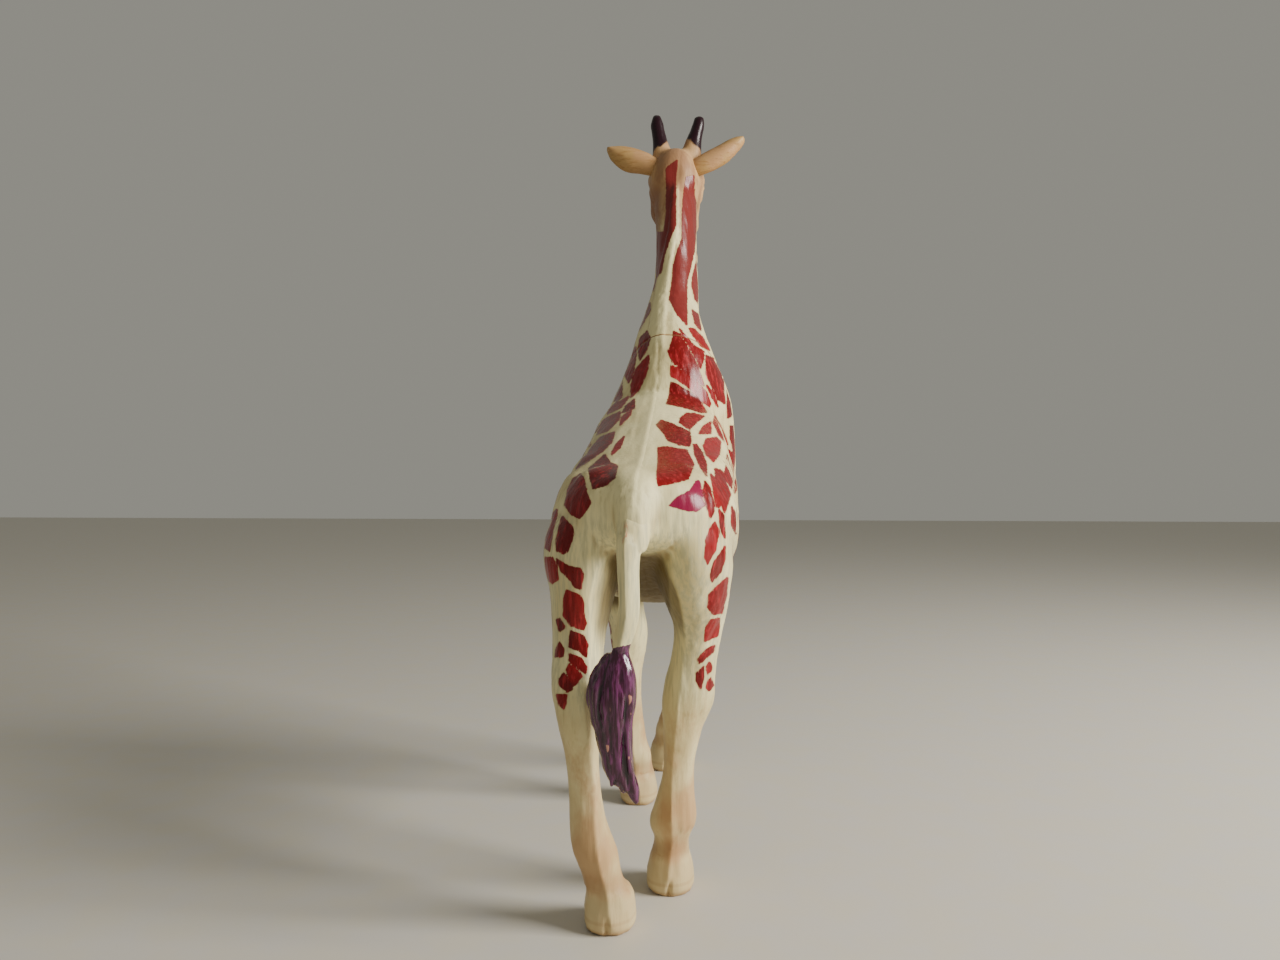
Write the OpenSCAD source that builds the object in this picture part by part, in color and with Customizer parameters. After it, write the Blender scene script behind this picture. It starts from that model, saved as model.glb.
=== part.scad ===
// Standing giraffe figure, moulded in hollow plastic and glued together.
// It faces +Y, its right side is +X and its hooves stand on Z = 0.

/* [Trunk] */
// Length of the trunk from the rump to the chest
trunk_len = 150; // [118:1:185]
// Width of the barrel
trunk_w = 63; // [50:1:78]
// Height of the belly above the ground
belly_z = 92; // [82:1:112]
// Height of the rump above the belly
rump_rise = 54; // [44:1:66]
// Height of the withers above the rump
withers_rise = 36; // [26:1:46]

/* [Shell] */
// Wall of the hollow mouldings
wall = 2.4; // [1.6:0.1:3.2]
// Gap left for glue where one piece fits in another
glue_gap = 0.15; // [0.1:0.05:0.4]
// Diameter of the posts that join the two halves
post_d = 7; // [5:0.5:9]
// Diameter of the locating pins
pin_d = 3; // [2:0.5:4]
// Length of the locating pins
pin_len = 5; // [3:0.5:7]

/* [Neck] */
// Length of the neck from the seam to the skull
neck_len = 80; // [64:1:96]
// Width of the thin part of the neck
neck_w = 19; // [15:0.5:23]
// Front to back depth of the thin part of the neck
neck_depth = 31; // [25:1:37]
// Width of the neck at the seam
neck_root_w = 44; // [36:1:53]
// Front to back depth of the neck at the seam
neck_root_depth = 70; // [58:1:84]
// Slope of the seam, down towards the chest
seam_slope = 27; // [18:1:34]
// Lean of the neck to the right
neck_lean = 1; // [-4:0.5:4]
// Depth that the neck plugs into the trunk
spigot_len = 11; // [7:1:14]

/* [Head] */
// Length of the head from the back of the skull to the nose
head_len = 62; // [50:1:75]
// Width of the skull at the brow
head_w = 24; // [20:0.5:29]
// Width of the nose
muzzle_w = 16; // [13:0.5:19]
// Height of the horns above the skull
horn_len = 25; // [18:1:32]
// Distance between the horn tips
horn_span = 18; // [14:1:22]
// Thickness of a horn
horn_d = 6; // [4.8:0.2:7.4]
// Length of an ear
ear_len = 22; // [17:1:27]
// Width of an ear
ear_w = 11; // [8.5:0.5:13.5]
// Diameter of the peg on the root of an ear
ear_peg_d = 3; // [2:0.5:4]

/* [Legs] */
// Height of the hocks of the hind legs
hock_z = 73; // [62:1:82]
// Height of the knees of the forelegs
knee_z = 73; // [60:1:82]
// Height of the fetlocks
fetlock_z = 25; // [20:1:32]
// Width of the thin shank above the fetlock
shank_w = 10; // [8:0.5:12.5]
// Width of a hock or a knee
joint_w = 16; // [13:0.5:19]
// Width of a hoof
hoof_w = 16; // [13:0.5:19.5]
// Length of a hoof
hoof_len = 21; // [17:0.5:25]
// Height of a hoof
hoof_h = 12; // [9:0.5:15]
// Width of the cleft in a hoof
cleft_w = 1.2; // [0.8:0.2:2]

/* [Tail] */
// Width of the tail at the rump
tail_w = 8.4; // [7:0.2:10]
// Length of the bare tail
tail_len = 42; // [34:1:50]
// Length of the hair tuft
tuft_len = 47; // [38:1:52]
// Width of the hair tuft
tuft_w = 14; // [11:0.5:17]
// Diameter of the peg that holds the tail
tail_peg_d = 5; // [4:0.5:6]
// Length of the peg that holds the tail
tail_peg_len = 9; // [6:1:11]

/* [Hidden] */
left = -1;
right = 1;
far = 400;
thin = 0.2;
socket_spare = 1;
facets = 32;
boss_wall = 2;

paint_body = "#c9bd9b";
paint_ear = "#b08a56";
paint_tail = "#4a2030";

// Heights and lengths that follow the trunk
rump_z = belly_z + rump_rise;
withers_z = rump_z + withers_rise;
rump_y = -92;
chest_y = rump_y + trunk_len;
shoulder_y = chest_y - 32;
hip_y = rump_y + 26;
half_w = trunk_w / 2;

function along(share) = rump_y + share * trunk_len;
function back_z(share) = rump_z + withers_rise * share;

// Trunk sections: share of the length, half width, top and bottom
barrel = [
    [0.00, half_w * 0.38, rump_z - 12, belly_z + 30],
    [0.04, half_w * 0.70, rump_z - 4, belly_z + 26],
    [0.13, half_w * 0.90, rump_z + 1, belly_z + 18],
    [0.29, half_w * 0.97, back_z(0.28), belly_z + 7],
    [0.47, half_w * 0.97, back_z(0.58), belly_z + 2],
    [0.63, half_w * 0.97, back_z(0.92), belly_z],
    [0.79, half_w * 0.92, back_z(1.00), belly_z + 4],
    [0.92, half_w * 0.76, back_z(0.76), belly_z + 13],
    [0.99, half_w * 0.50, back_z(0.20), belly_z + 26]
];

// The seam ring between trunk and neck
seam_x = 3.5;
seam_y = shoulder_y + 4;
seam_z = withers_z;

// Shoulder rings below the seam: centre, slope, half width and half depth
shoulders = [
    [[0, shoulder_y - 4, belly_z + 33], 0, half_w * 0.92, neck_root_depth / 2 + 1],
    [[0.5, shoulder_y - 2, belly_z + 58], seam_slope * 0.45, half_w * 0.98, neck_root_depth / 2 + 5],
    [[1.5, shoulder_y + 2, seam_z - 14], seam_slope * 0.75, half_w * 0.90, neck_root_depth / 2 + 3],
    [[seam_x, seam_y, seam_z], seam_slope, neck_root_w / 2, neck_root_depth / 2]
];

// Neck rings above the seam, in the neck's own frame from the seam's centre
function neck_at(share) = [
    seam_x + share * neck_len * sin(neck_lean),
    seam_y + neck_len * (0.16 * share * share - 0.02 * share),
    seam_z + share * neck_len
];
neck_tip = neck_at(1);
neck = [
    [neck_at(0), seam_slope, neck_root_w / 2, neck_root_depth / 2],
    [neck_at(0.17), seam_slope, neck_w * 0.32 + neck_root_w * 0.25, neck_depth * 0.5 + 12],
    [neck_at(0.35), seam_slope - 2, neck_w * 0.5 + 2.6, neck_depth * 0.5 + 5],
    [neck_at(0.53), seam_slope - 3, neck_w * 0.5, neck_depth * 0.5 + 1],
    [neck_at(0.77), seam_slope - 6, neck_w * 0.5, neck_depth * 0.5],
    [neck_at(0.95), seam_slope - 12, neck_w * 0.5, neck_depth * 0.45]
];

// Head: the back of the skull sits on the tip of the neck
skull = neck_tip + [0, 0, 4];
nose = skull + [0.5, head_len - 18, -19];
head = [
    [skull + [0, -10, 1], head_w * 0.33, 10],
    [skull + [0, -3, 0], head_w * 0.46, 14.5],
    [skull + [0, 8, -1], head_w * 0.48, 15],
    [skull + [0.2, head_len * 0.33, -8], head_w * 0.38, 11],
    [nose + [0, -12, 4], muzzle_w * 0.42, 8],
    [nose, muzzle_w * 0.50, 7.5],
    [nose + [0, 7, -1], muzzle_w * 0.36, 5]
];
horn_root = skull + [0, 4, 8];
ear_root_z = 9;
ear_root_x = head_w * 0.40;
ear_lift = 25;

// Legs, from the hip or shoulder down: centre, half width and half length of each slab
hip_z = belly_z + 26;
left_hind = [
    [[-half_w * 0.42, hip_y, hip_z + 22], 6, 15],
    [[-half_w * 0.58, hip_y, hip_z], 14.5, 24],
    [[-half_w * 0.60, hip_y - 2, belly_z + 8], 11.5, 20],
    [[-half_w * 0.60, hip_y - 10, (belly_z + hock_z) / 2 + 4], 8.8, 13],
    [[-half_w * 0.62, hip_y - 18, hock_z], joint_w / 2, 8],
    [[-half_w * 0.58, hip_y - 19, hock_z - 14], shank_w * 0.55, 7],
    [[-half_w * 0.50, hip_y - 17, (hock_z + fetlock_z) / 2 - 6], shank_w / 2, 5.6],
    [[-half_w * 0.44, hip_y - 16, fetlock_z], shank_w * 0.66, 7],
    [[-half_w * 0.37, hip_y - 14, hoof_h + 4], shank_w * 0.6, 6.4]
];
left_hind_hoof = [-half_w * 0.28, hip_y - 11];
right_hind = [
    [[half_w * 0.42, hip_y, hip_z + 22], 6, 15],
    [[half_w * 0.54, hip_y, hip_z], 13, 24],
    [[half_w * 0.60, hip_y + 6, belly_z + 8], 11.5, 20],
    [[half_w * 0.56, hip_y + 8, (belly_z + hock_z) / 2 + 3], 8.8, 13],
    [[half_w * 0.46, hip_y + 8, hock_z - 4], joint_w / 2, 9],
    [[half_w * 0.38, hip_y + 9, hock_z - 17], shank_w * 0.6, 7],
    [[half_w * 0.31, hip_y + 12, (hock_z + fetlock_z) / 2 - 7], shank_w * 0.54, 5.6],
    [[half_w * 0.26, hip_y + 14, fetlock_z], shank_w * 0.72, 7],
    [[half_w * 0.24, hip_y + 16, hoof_h + 4], shank_w * 0.62, 6.4]
];
right_hind_hoof = [half_w * 0.24, hip_y + 19];
left_fore = [
    [[-half_w * 0.50, shoulder_y + 4, belly_z + 72], 6, 14],
    [[-half_w * 0.60, shoulder_y + 4, belly_z + 46], 11, 20],
    [[-half_w * 0.62, shoulder_y + 2, belly_z + 10], 11, 15],
    [[-half_w * 0.52, shoulder_y + 2, (belly_z + knee_z) / 2 + 2], 8.6, 10],
    [[-half_w * 0.47, shoulder_y + 4, knee_z], joint_w / 2, 8.5],
    [[-half_w * 0.46, shoulder_y + 6, knee_z - 14], shank_w * 0.56, 6.4],
    [[-half_w * 0.46, shoulder_y + 9, (knee_z + fetlock_z) / 2 - 7], shank_w / 2, 5.4],
    [[-half_w * 0.42, shoulder_y + 11, fetlock_z - 2], shank_w * 0.66, 7],
    [[-half_w * 0.37, shoulder_y + 13, hoof_h + 3], shank_w * 0.6, 6.4]
];
left_fore_hoof = [-half_w * 0.35, shoulder_y + 16];
right_fore = [
    [[half_w * 0.50, shoulder_y + 4, belly_z + 72], 6, 14],
    [[half_w * 0.60, shoulder_y + 6, belly_z + 46], 11, 20],
    [[half_w * 0.60, shoulder_y + 12, belly_z + 10], 11, 15],
    [[half_w * 0.50, shoulder_y + 22, (belly_z + knee_z) / 2 + 2], 8.6, 10],
    [[half_w * 0.40, shoulder_y + 32, knee_z], joint_w / 2, 8.5],
    [[half_w * 0.28, shoulder_y + 39, knee_z - 15], shank_w * 0.56, 6.4],
    [[half_w * 0.12, shoulder_y + 48, (knee_z + fetlock_z) / 2 - 7], shank_w / 2, 5.4],
    [[half_w * 0.00, shoulder_y + 55, fetlock_z - 2], shank_w * 0.66, 7],
    [[-half_w * 0.06, shoulder_y + 59, hoof_h + 3], shank_w * 0.6, 6.4]
];
right_fore_hoof = [-half_w * 0.08, shoulder_y + 65];

// Posts across the trunk and the neck: each has a pin on the left and a socket on the right
trunk_posts = [
    [0, hip_y + 4, belly_z + 26],
    [0, (hip_y + shoulder_y) / 2, belly_z + 26],
    [0, shoulder_y + 2, belly_z + 42]
];
neck_posts = [neck_at(0.24) + [0, 4, 0], neck_at(0.66)];

// The tail hangs from a peg in the rump
tail_z = rump_z - 13;
tail_y = rump_y - 5;
tail = [
    [[0, rump_y + 1, tail_z + 4], tail_w * 0.50, 3.5],
    [[-0.5, tail_y - 1, tail_z - 1], tail_w * 0.52, 3.6],
    [[-1.2, tail_y - 1, tail_z - tail_len * 0.3], tail_w * 0.44, 3.1],
    [[-1.8, tail_y - 1, tail_z - tail_len * 0.7], tail_w * 0.37, 2.8],
    [[-2.6, tail_y - 1, tail_z - tail_len], tail_w * 0.32, 2.6]
];
tuft_top = [-3.4, tail_y - 1, tail_z - tail_len + 2];
tuft = [
    [tuft_top, tuft_w * 0.24, 3],
    [tuft_top + [-2.6, 0, -tuft_len * 0.12], tuft_w * 0.40, 4.4],
    [tuft_top + [-4, 0, -tuft_len * 0.32], tuft_w * 0.52, 5.2],
    [tuft_top + [-3, 0, -tuft_len * 0.52], tuft_w * 0.40, 4.8],
    [tuft_top + [-1.4, 0, -tuft_len * 0.74], tuft_w * 0.32, 4],
    [tuft_top + [0.4, 0, -tuft_len * 0.92], tuft_w * 0.18, 2.6],
    [tuft_top + [1.4, 0, -tuft_len], 0.8, 1]
];

// A level slab, a ring on a slope and an upright section, all ellipses
module slab(at, half_x, half_y) {
    translate(at) scale([half_x, half_y, 1]) cylinder(h = thin, r = 1, center = true, $fn = 24);
}

module ring(at, slope, half_x, half_y, high = thin) {
    translate(at) rotate([-slope, 0, 0]) scale([half_x, half_y, 1])
        cylinder(h = high, r = 1, center = true, $fn = facets);
}

module section(at, half_x, half_z) {
    translate(at) rotate([90, 0, 0]) scale([half_x, half_z, 1])
        cylinder(h = thin, r = 1, center = true, $fn = facets);
}

// A row of slabs joined one to the next
module limb(row) {
    for (i = [0 : len(row) - 2]) hull() {
        slab(row[i][0], row[i][1], row[i][2]);
        slab(row[i + 1][0], row[i + 1][1], row[i + 1][2]);
    }
}

module ring_stack(row, inset) {
    for (i = [0 : len(row) - 2]) hull() {
        ring(row[i][0], row[i][1], row[i][2] - inset, row[i][3] - inset);
        ring(row[i + 1][0], row[i + 1][1], row[i + 1][2] - inset, row[i + 1][3] - inset);
    }
}

module barrel_section(b, inset, pull = 0) {
    middle = (b[2] + b[3]) / 2;
    section([0, along(b[0]) + pull, middle], b[1] - inset, (b[2] - b[3]) / 2 - inset);
}

module barrel_loft(inset) {
    last = len(barrel) - 1;
    for (i = [0 : last - 1]) hull() {
        barrel_section(barrel[i], inset, i == 0 ? inset : 0);
        barrel_section(barrel[i + 1], inset, i + 1 == last ? -inset : 0);
    }
}

// One side of a plane: the middle of the trunk, or of the leaning neck
module trunk_side(side) {
    translate([side < 0 ? -far : 0, -far / 2, -far / 2]) cube(far);
}

module neck_side(side) {
    translate([seam_x, 0, seam_z]) rotate([0, neck_lean, 0])
        translate([side < 0 ? -far : 0, -far / 2, -far / 2]) cube(far);
}

module above_seam() {
    translate([seam_x, seam_y, seam_z]) rotate([-seam_slope, 0, 0])
        translate([-far / 2, -far / 2, 0]) cube(far);
}

// The mouth in the trunk that takes the neck's spigot
module mouth() {
    reach = spigot_len + socket_spare;
    normal = [0, sin(seam_slope), cos(seam_slope)];
    ring([seam_x, seam_y, seam_z] - normal * (reach / 2 - 1), seam_slope,
         neck_root_w / 2 - wall, neck_root_depth / 2 - wall, reach + 2);
}

module posts(at, long) {
    for (p = at) translate(p) rotate([0, 90, 0])
        cylinder(h = long, d = post_d, center = true, $fn = 24);
}

// Pins stand out of the left half and fit in holes in the right half
module pins(at, spare) {
    for (p = at) translate(p + [-pin_len, 0, 0]) rotate([0, 90, 0])
        cylinder(h = pin_len * 2 + spare * 2, d = pin_d + spare * 2, $fn = 16);
}

module hoof(at) {
    translate([at[0], at[1], 0]) difference() {
        hull() {
            scale([hoof_w, hoof_len, 1]) cylinder(h = thin, d = 1, $fn = 24);
            translate([0, -hoof_len * 0.12, hoof_h])
                scale([hoof_w * 0.8, hoof_len * 0.7, 1]) cylinder(h = thin, d = 1, $fn = 24);
        }
        for (end = [-1, 1]) translate([0, end * hoof_len / 2, hoof_h * 0.35])
            cube([cleft_w, hoof_len * 0.36, hoof_h], center = true);
    }
}

module leg(row, at) {
    last = row[len(row) - 1];
    limb(row);
    hull() {
        slab(last[0], last[1], last[2]);
        slab([at[0], at[1] - hoof_len * 0.1, hoof_h], hoof_w * 0.4, hoof_len * 0.34);
    }
    hoof(at);
}

module legs(side) {
    if (side == left) {
        leg(left_hind, left_hind_hoof);
        leg(left_fore, left_fore_hoof);
    } else {
        leg(right_hind, right_hind_hoof);
        leg(right_fore, right_fore_hoof);
    }
}

module trunk_outside() {
    barrel_loft(0);
    ring_stack(shoulders, 0);
}

module trunk_inside() {
    barrel_loft(wall);
    ring_stack(shoulders, wall);
    mouth();
}

module tail_hole(spare) {
    translate([0, rump_y - 4, tail_z]) rotate([-90, 0, 0])
        cylinder(h = tail_peg_len + 4 + spare, d = tail_peg_d + spare * 2, $fn = 20);
}

module tail_boss() {
    translate([0, rump_y + 1, tail_z]) rotate([-90, 0, 0])
        cylinder(h = tail_peg_len + boss_wall, d = tail_peg_d + boss_wall * 2, $fn = 24);
}

module body_half(side) {
    difference() {
        union() {
            difference() {
                union() {
                    intersection() { trunk_outside(); trunk_side(side); }
                    legs(side);
                }
                trunk_inside();
            }
            intersection() {
                union() { posts(trunk_posts, trunk_w); tail_boss(); }
                trunk_outside();
                trunk_side(side);
            }
        }
        above_seam();
        tail_hole(glue_gap);
        if (side == right) pins(trunk_posts, glue_gap);
    }
    if (side == left) intersection() {
        pins(trunk_posts, 0);
        translate([-pin_len, -far / 2, -far / 2]) cube([pin_len * 2, far, far]);
    }
}

module body_left_shell() { color(paint_body) body_half(left); }
module body_right_shell() { color(paint_body) body_half(right); }

module skull_and_muzzle() {
    for (i = [0 : len(head) - 2]) hull() {
        section(head[i][0], head[i][1], head[i][2]);
        section(head[i + 1][0], head[i + 1][1], head[i + 1][2]);
    }
    for (side = [left, right]) hull() {
        translate(horn_root + [side * horn_span * 0.34, 0, -4]) sphere(d = horn_d, $fn = 16);
        translate(horn_root + [side * (horn_span - horn_d) / 2, 4, horn_len - horn_d / 2])
            sphere(d = horn_d, $fn = 16);
    }
}

module spigot(inset) {
    normal = [0, sin(seam_slope), cos(seam_slope)];
    reach = spigot_len + (inset > wall ? socket_spare : 0);
    ring([seam_x, seam_y, seam_z] - normal * (reach / 2 - 1), seam_slope,
         neck_root_w / 2 - inset, neck_root_depth / 2 - inset, reach + 2);
}

module neck_and_head() {
    difference() {
        union() {
            intersection() { ring_stack(neck, 0); above_seam(); }
            spigot(wall + glue_gap);
        }
        ring_stack(neck, wall * 2);
        spigot(wall * 2 + glue_gap);
    }
    skull_and_muzzle();
}

module neck_half(side) {
    difference() {
        union() {
            intersection() { neck_and_head(); neck_side(side); }
            intersection() {
                posts(neck_posts, trunk_w);
                union() { ring_stack(neck, 0.4); }
                neck_side(side);
                above_seam();
            }
        }
        ear_peg(side, glue_gap);
        if (side == right) pins(neck_posts, glue_gap);
    }
    if (side == left) pins(neck_posts, 0);
}

module neck_left_shell() { color(paint_body) neck_half(left); }
module neck_right_shell() { color(paint_body) neck_half(right); }

module ear_frame(side) {
    translate(skull + [side * ear_root_x, -2, ear_root_z]) rotate([0, -side * ear_lift, 0]) children();
}

module ear_peg(side, spare) {
    ear_frame(side) rotate([0, side * 90, 0])
        translate([0, 0, -5 - spare]) cylinder(h = 8, d = ear_peg_d + spare * 2, $fn = 16);
}

module ear(side) {
    difference() {
        union() {
            ear_frame(side) for (i = [0 : 1]) hull() {
                translate([side * (2 + i * ear_len * 0.42), 0, 0])
                    scale([1, 0.35, 1]) sphere(d = ear_w * (i == 0 ? 0.6 : 1), $fn = 20);
                translate([side * (i == 0 ? ear_len * 0.44 : ear_len - 1), 0, i == 0 ? 0 : 1])
                    scale([1, 0.35, 1]) sphere(d = ear_w * (i == 0 ? 1 : 0.2), $fn = 20);
            }
        }
        neck_and_head();
    }
    ear_peg(side, 0);
}

module left_ear() { color(paint_ear) ear(left); }
module right_ear() { color(paint_ear) ear(right); }

module tail() {
    color(paint_tail) {
        difference() {
            union() { limb(tail); limb(tuft); }
            trunk_outside();
        }
        intersection() {
            tail_hole(0);
            translate([-far / 2, tail_y - 1, 0]) cube(far);
        }
    }
}

body_left_shell();
body_right_shell();
neck_left_shell();
neck_right_shell();
left_ear();
right_ear();
tail();
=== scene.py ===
import math

import bmesh
import bpy
import numpy as np
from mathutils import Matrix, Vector


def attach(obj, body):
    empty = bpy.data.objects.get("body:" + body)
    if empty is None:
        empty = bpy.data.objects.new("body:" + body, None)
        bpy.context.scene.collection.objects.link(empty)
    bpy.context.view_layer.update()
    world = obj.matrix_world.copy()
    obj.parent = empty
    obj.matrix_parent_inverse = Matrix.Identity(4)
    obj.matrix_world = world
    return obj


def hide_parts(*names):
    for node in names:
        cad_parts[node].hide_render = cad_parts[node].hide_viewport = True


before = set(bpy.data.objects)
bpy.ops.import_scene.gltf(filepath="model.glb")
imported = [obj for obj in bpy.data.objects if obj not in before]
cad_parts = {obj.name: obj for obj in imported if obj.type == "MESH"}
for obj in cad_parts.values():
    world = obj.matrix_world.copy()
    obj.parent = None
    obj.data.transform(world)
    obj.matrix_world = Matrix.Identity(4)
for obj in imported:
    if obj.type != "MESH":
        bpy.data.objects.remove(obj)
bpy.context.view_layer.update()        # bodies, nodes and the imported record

mm = 0.001
left, right = -1, 1
seed = 11

# Lengths below are millimetres: +X is the figure's right, +Y its front and +Z up.


def catmull(rows, steps):
    rows = np.asarray(rows, float)
    padded = np.vstack([2 * rows[0] - rows[1], rows, 2 * rows[-1] - rows[-2]])
    t = np.linspace(0, 1, steps, endpoint=False)[:, None]
    out = []
    for a, b, c, d in zip(padded, padded[1:], padded[2:], padded[3:]):
        out.append(0.5 * (2 * b + (c - a) * t + (2 * a - 5 * b + 4 * c - d) * t ** 2
                          + (3 * b - a - 3 * c + d) * t ** 3))
    return np.vstack(out + [rows[-1:]])


def tube(rings, ends):
    # rings: count x around x 3; ends: the two middle points that close it
    count, around = rings.shape[:2]
    points = np.vstack([rings.reshape(-1, 3), ends])
    faces = []
    first, last = count * around, count * around + 1
    for j in range(around):
        k = (j + 1) % around
        for i in range(count - 1):
            faces.append((i * around + j, i * around + k, (i + 1) * around + k, (i + 1) * around + j))
        faces.append((first, k, j))
        faces.append((last, (count - 1) * around + j, (count - 1) * around + k))
    return points, faces


def outline(around, power):
    turn = np.linspace(0, 2 * math.pi, around, endpoint=False)
    c, s = np.cos(turn), np.sin(turn)
    return np.sign(c) * np.abs(c) ** (2 / power), np.sign(s) * np.abs(s) ** (2 / power)


def loft(stations, steps=6, around=40, power=2.0):
    # station: x, y, z, half width, half depth, slope of the section, egg
    rows = catmull(stations, steps)
    u, v = outline(around, power)
    rings = []
    for x, y, z, a, b, slope, egg in rows:
        tilt = math.radians(slope)
        rings.append(np.column_stack([x + a * (1 + egg * v) * u, y + b * v * math.cos(tilt),
                                      z - b * v * math.sin(tilt)]))
    return tube(np.array(rings), rows[[0, -1], :3])


def sweep(stations, steps=5, around=24, power=2.0):
    # station: x, y, z, half width across the path, half thickness along Y
    rows = catmull(stations, steps)
    u, v = outline(around, power)
    ahead = np.gradient(rows[:, :3], axis=0)
    across = np.cross(ahead, (0, 1, 0))
    across /= np.linalg.norm(across, axis=1)[:, None]
    rings = (rows[:, None, :3] + across[:, None, :] * (rows[:, 3, None] * u)[:, :, None]
             + np.array((0, 1, 0)) * (rows[:, 4, None] * v)[:, :, None])
    return tube(rings, rows[[0, -1], :3])


def ball(at, radii, around=20):
    high = np.linspace(-0.995, 0.995, 11)
    rows = [(at[0], at[1], at[2] + radii[2] * h, radii[0] * math.sqrt(1 - h * h),
             radii[1] * math.sqrt(1 - h * h), 0, 0) for h in high]
    return loft(rows, 1, around)


def joined(parts):
    points, faces, start = [], [], 0
    for p, f in parts:
        points.append(p)
        faces += [tuple(i + start for i in face) for face in f]
        start += len(p)
    return np.vstack(points), faces


def newObject(name, mesh):
    obj = bpy.data.objects.new(name, mesh)
    bpy.context.scene.collection.objects.link(obj)
    return obj


def meshObject(name, points, faces):
    mesh = bpy.data.meshes.new(name)
    mesh.from_pydata((np.asarray(points) * mm).tolist(), [], faces)
    mesh.update()
    return newObject(name, mesh)


def applied(obj):
    graph = bpy.context.evaluated_depsgraph_get()
    mesh = bpy.data.meshes.new_from_object(obj.evaluated_get(graph))
    name = obj.name
    bpy.data.objects.remove(obj)
    return newObject(name, mesh)


def remeshed(obj, size):
    remesh = obj.modifiers.new("remesh", "REMESH")
    remesh.mode = "VOXEL"
    remesh.voxel_size = size * mm
    return applied(obj)


def subdivided(obj):
    sub = obj.modifiers.new("subdivide", "SUBSURF")
    sub.levels = sub.render_levels = 1
    return applied(obj)


def readMesh(items, name, width, kind=float):
    flat = np.empty(len(items) * width, kind)
    items.foreach_get(name, flat)
    return flat.reshape(-1, width)


def coords(mesh):
    return readMesh(mesh.vertices, "co", 3) / mm


def normals(mesh):
    return readMesh(mesh.vertex_normals, "vector", 3)


def setCoords(mesh, points):
    mesh.vertices.foreach_set("co", (np.asarray(points, float) * mm).ravel())
    mesh.update()


def paintField(mesh, name, values):
    field = mesh.attributes.new(name, "FLOAT", "POINT")
    field.data.foreach_set("value", np.broadcast_to(np.asarray(values, np.float32), len(mesh.vertices)))


def averaged(points, pairs, rounds, pull=(0.55, -0.42), strength=1.0):
    # every other round pushes back, so that thin limbs keep their girth
    a, b = pairs[:, 0], pairs[:, 1]
    count = len(points)
    weight = (np.bincount(a, minlength=count) + np.bincount(b, minlength=count))[:, None]
    for i in range(rounds):
        total = np.column_stack([np.bincount(a, points[b, k], count) + np.bincount(b, points[a, k], count)
                                 for k in range(points.shape[1])])
        points = points + pull[i % 2] * strength * (total / weight - points)
    return points


def hollows(mesh):
    # how far each point lies below the surface round it
    points = coords(mesh)
    pairs = readMesh(mesh.edges, "vertices", 2, np.int32)
    return ((averaged(points, pairs, 8, (0.7, 0.7)) - points) * normals(mesh)).sum(1)


def shadeSmooth(mesh):
    mesh.polygons.foreach_set("use_smooth", [True] * len(mesh.polygons))


def relax(mesh, rounds, strength):
    pairs = readMesh(mesh.edges, "vertices", 2, np.int32)
    setCoords(mesh, averaged(coords(mesh), pairs, rounds, strength=np.asarray(strength)[:, None]))


def smooth(low, high, value):
    t = np.clip((value - low) / (high - low), 0, 1)
    return t * t * (3 - 2 * t)


def swell(distance, width):
    return np.exp(-(distance / width) ** 2)


def lattice(cell, seedNumber):
    h = (cell[..., 0] * 374761393 + cell[..., 1] * 668265263 + cell[..., 2] * 1274126177
         + seedNumber * 974634777) & 0xffffffff
    h = ((h ^ (h >> 13)) * 1103515245) & 0xffffffff
    return ((h ^ (h >> 16)) & 0xffff) / 32767.5 - 1


def noise(points, seedNumber):
    # smooth values from -1 to 1, one lump to each unit of length
    cell = np.floor(points).astype(np.int64)
    f = points - cell
    f = f * f * (3 - 2 * f)
    total = 0
    for corner in np.ndindex(2, 2, 2):
        share = np.prod(np.where(corner, f, 1 - f), axis=1)
        total = total + share * lattice(cell + corner, seedNumber)
    return total


def toPath(points, path):
    # distance from each point to a line of points
    path = np.asarray(path, float)
    best = np.full(len(points), 1e9)
    for a, b in zip(path, path[1:]):
        d = b - a
        t = np.clip((points - a) @ d / (d @ d), 0, 1)
        best = np.minimum(best, np.linalg.norm(points - a - t[:, None] * d, axis=1))
    return best


trunk = {
    # y, top, bottom, half width
    "sections": [
        (-91.5, 137, 123, 8), (-88, 141, 119, 17), (-80, 144, 116, 24.5), (-68, 147.5, 110, 29),
        (-48, 156, 99, 30.6), (-22, 167, 94.5, 30.4), (2, 178, 92, 29.6), (26, 181, 93, 28.0),
        (44, 172, 103, 24), (56, 152, 117, 15),
    ],
    "egg": 0.05,
    "fullness": 2.3,      # 2 is an oval section
    # root of the tail: x, y, z, half width, half thickness
    "dock": [(-0.5, -62, 144, 6, 5), (-0.6, -75, 143.5, 8.2, 6), (-0.8, -85, 140.5, 8.0, 6),
             (-1.0, -91.0, 134.5, 6.4, 5.4), (-1.2, -93.4, 129, 5.3, 4.4), (-1.3, -94.6, 121, 4.2, 3.2)],
    "middle": -0.8,       # the spine's own line
    "ridge": 0.9,
}
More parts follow.
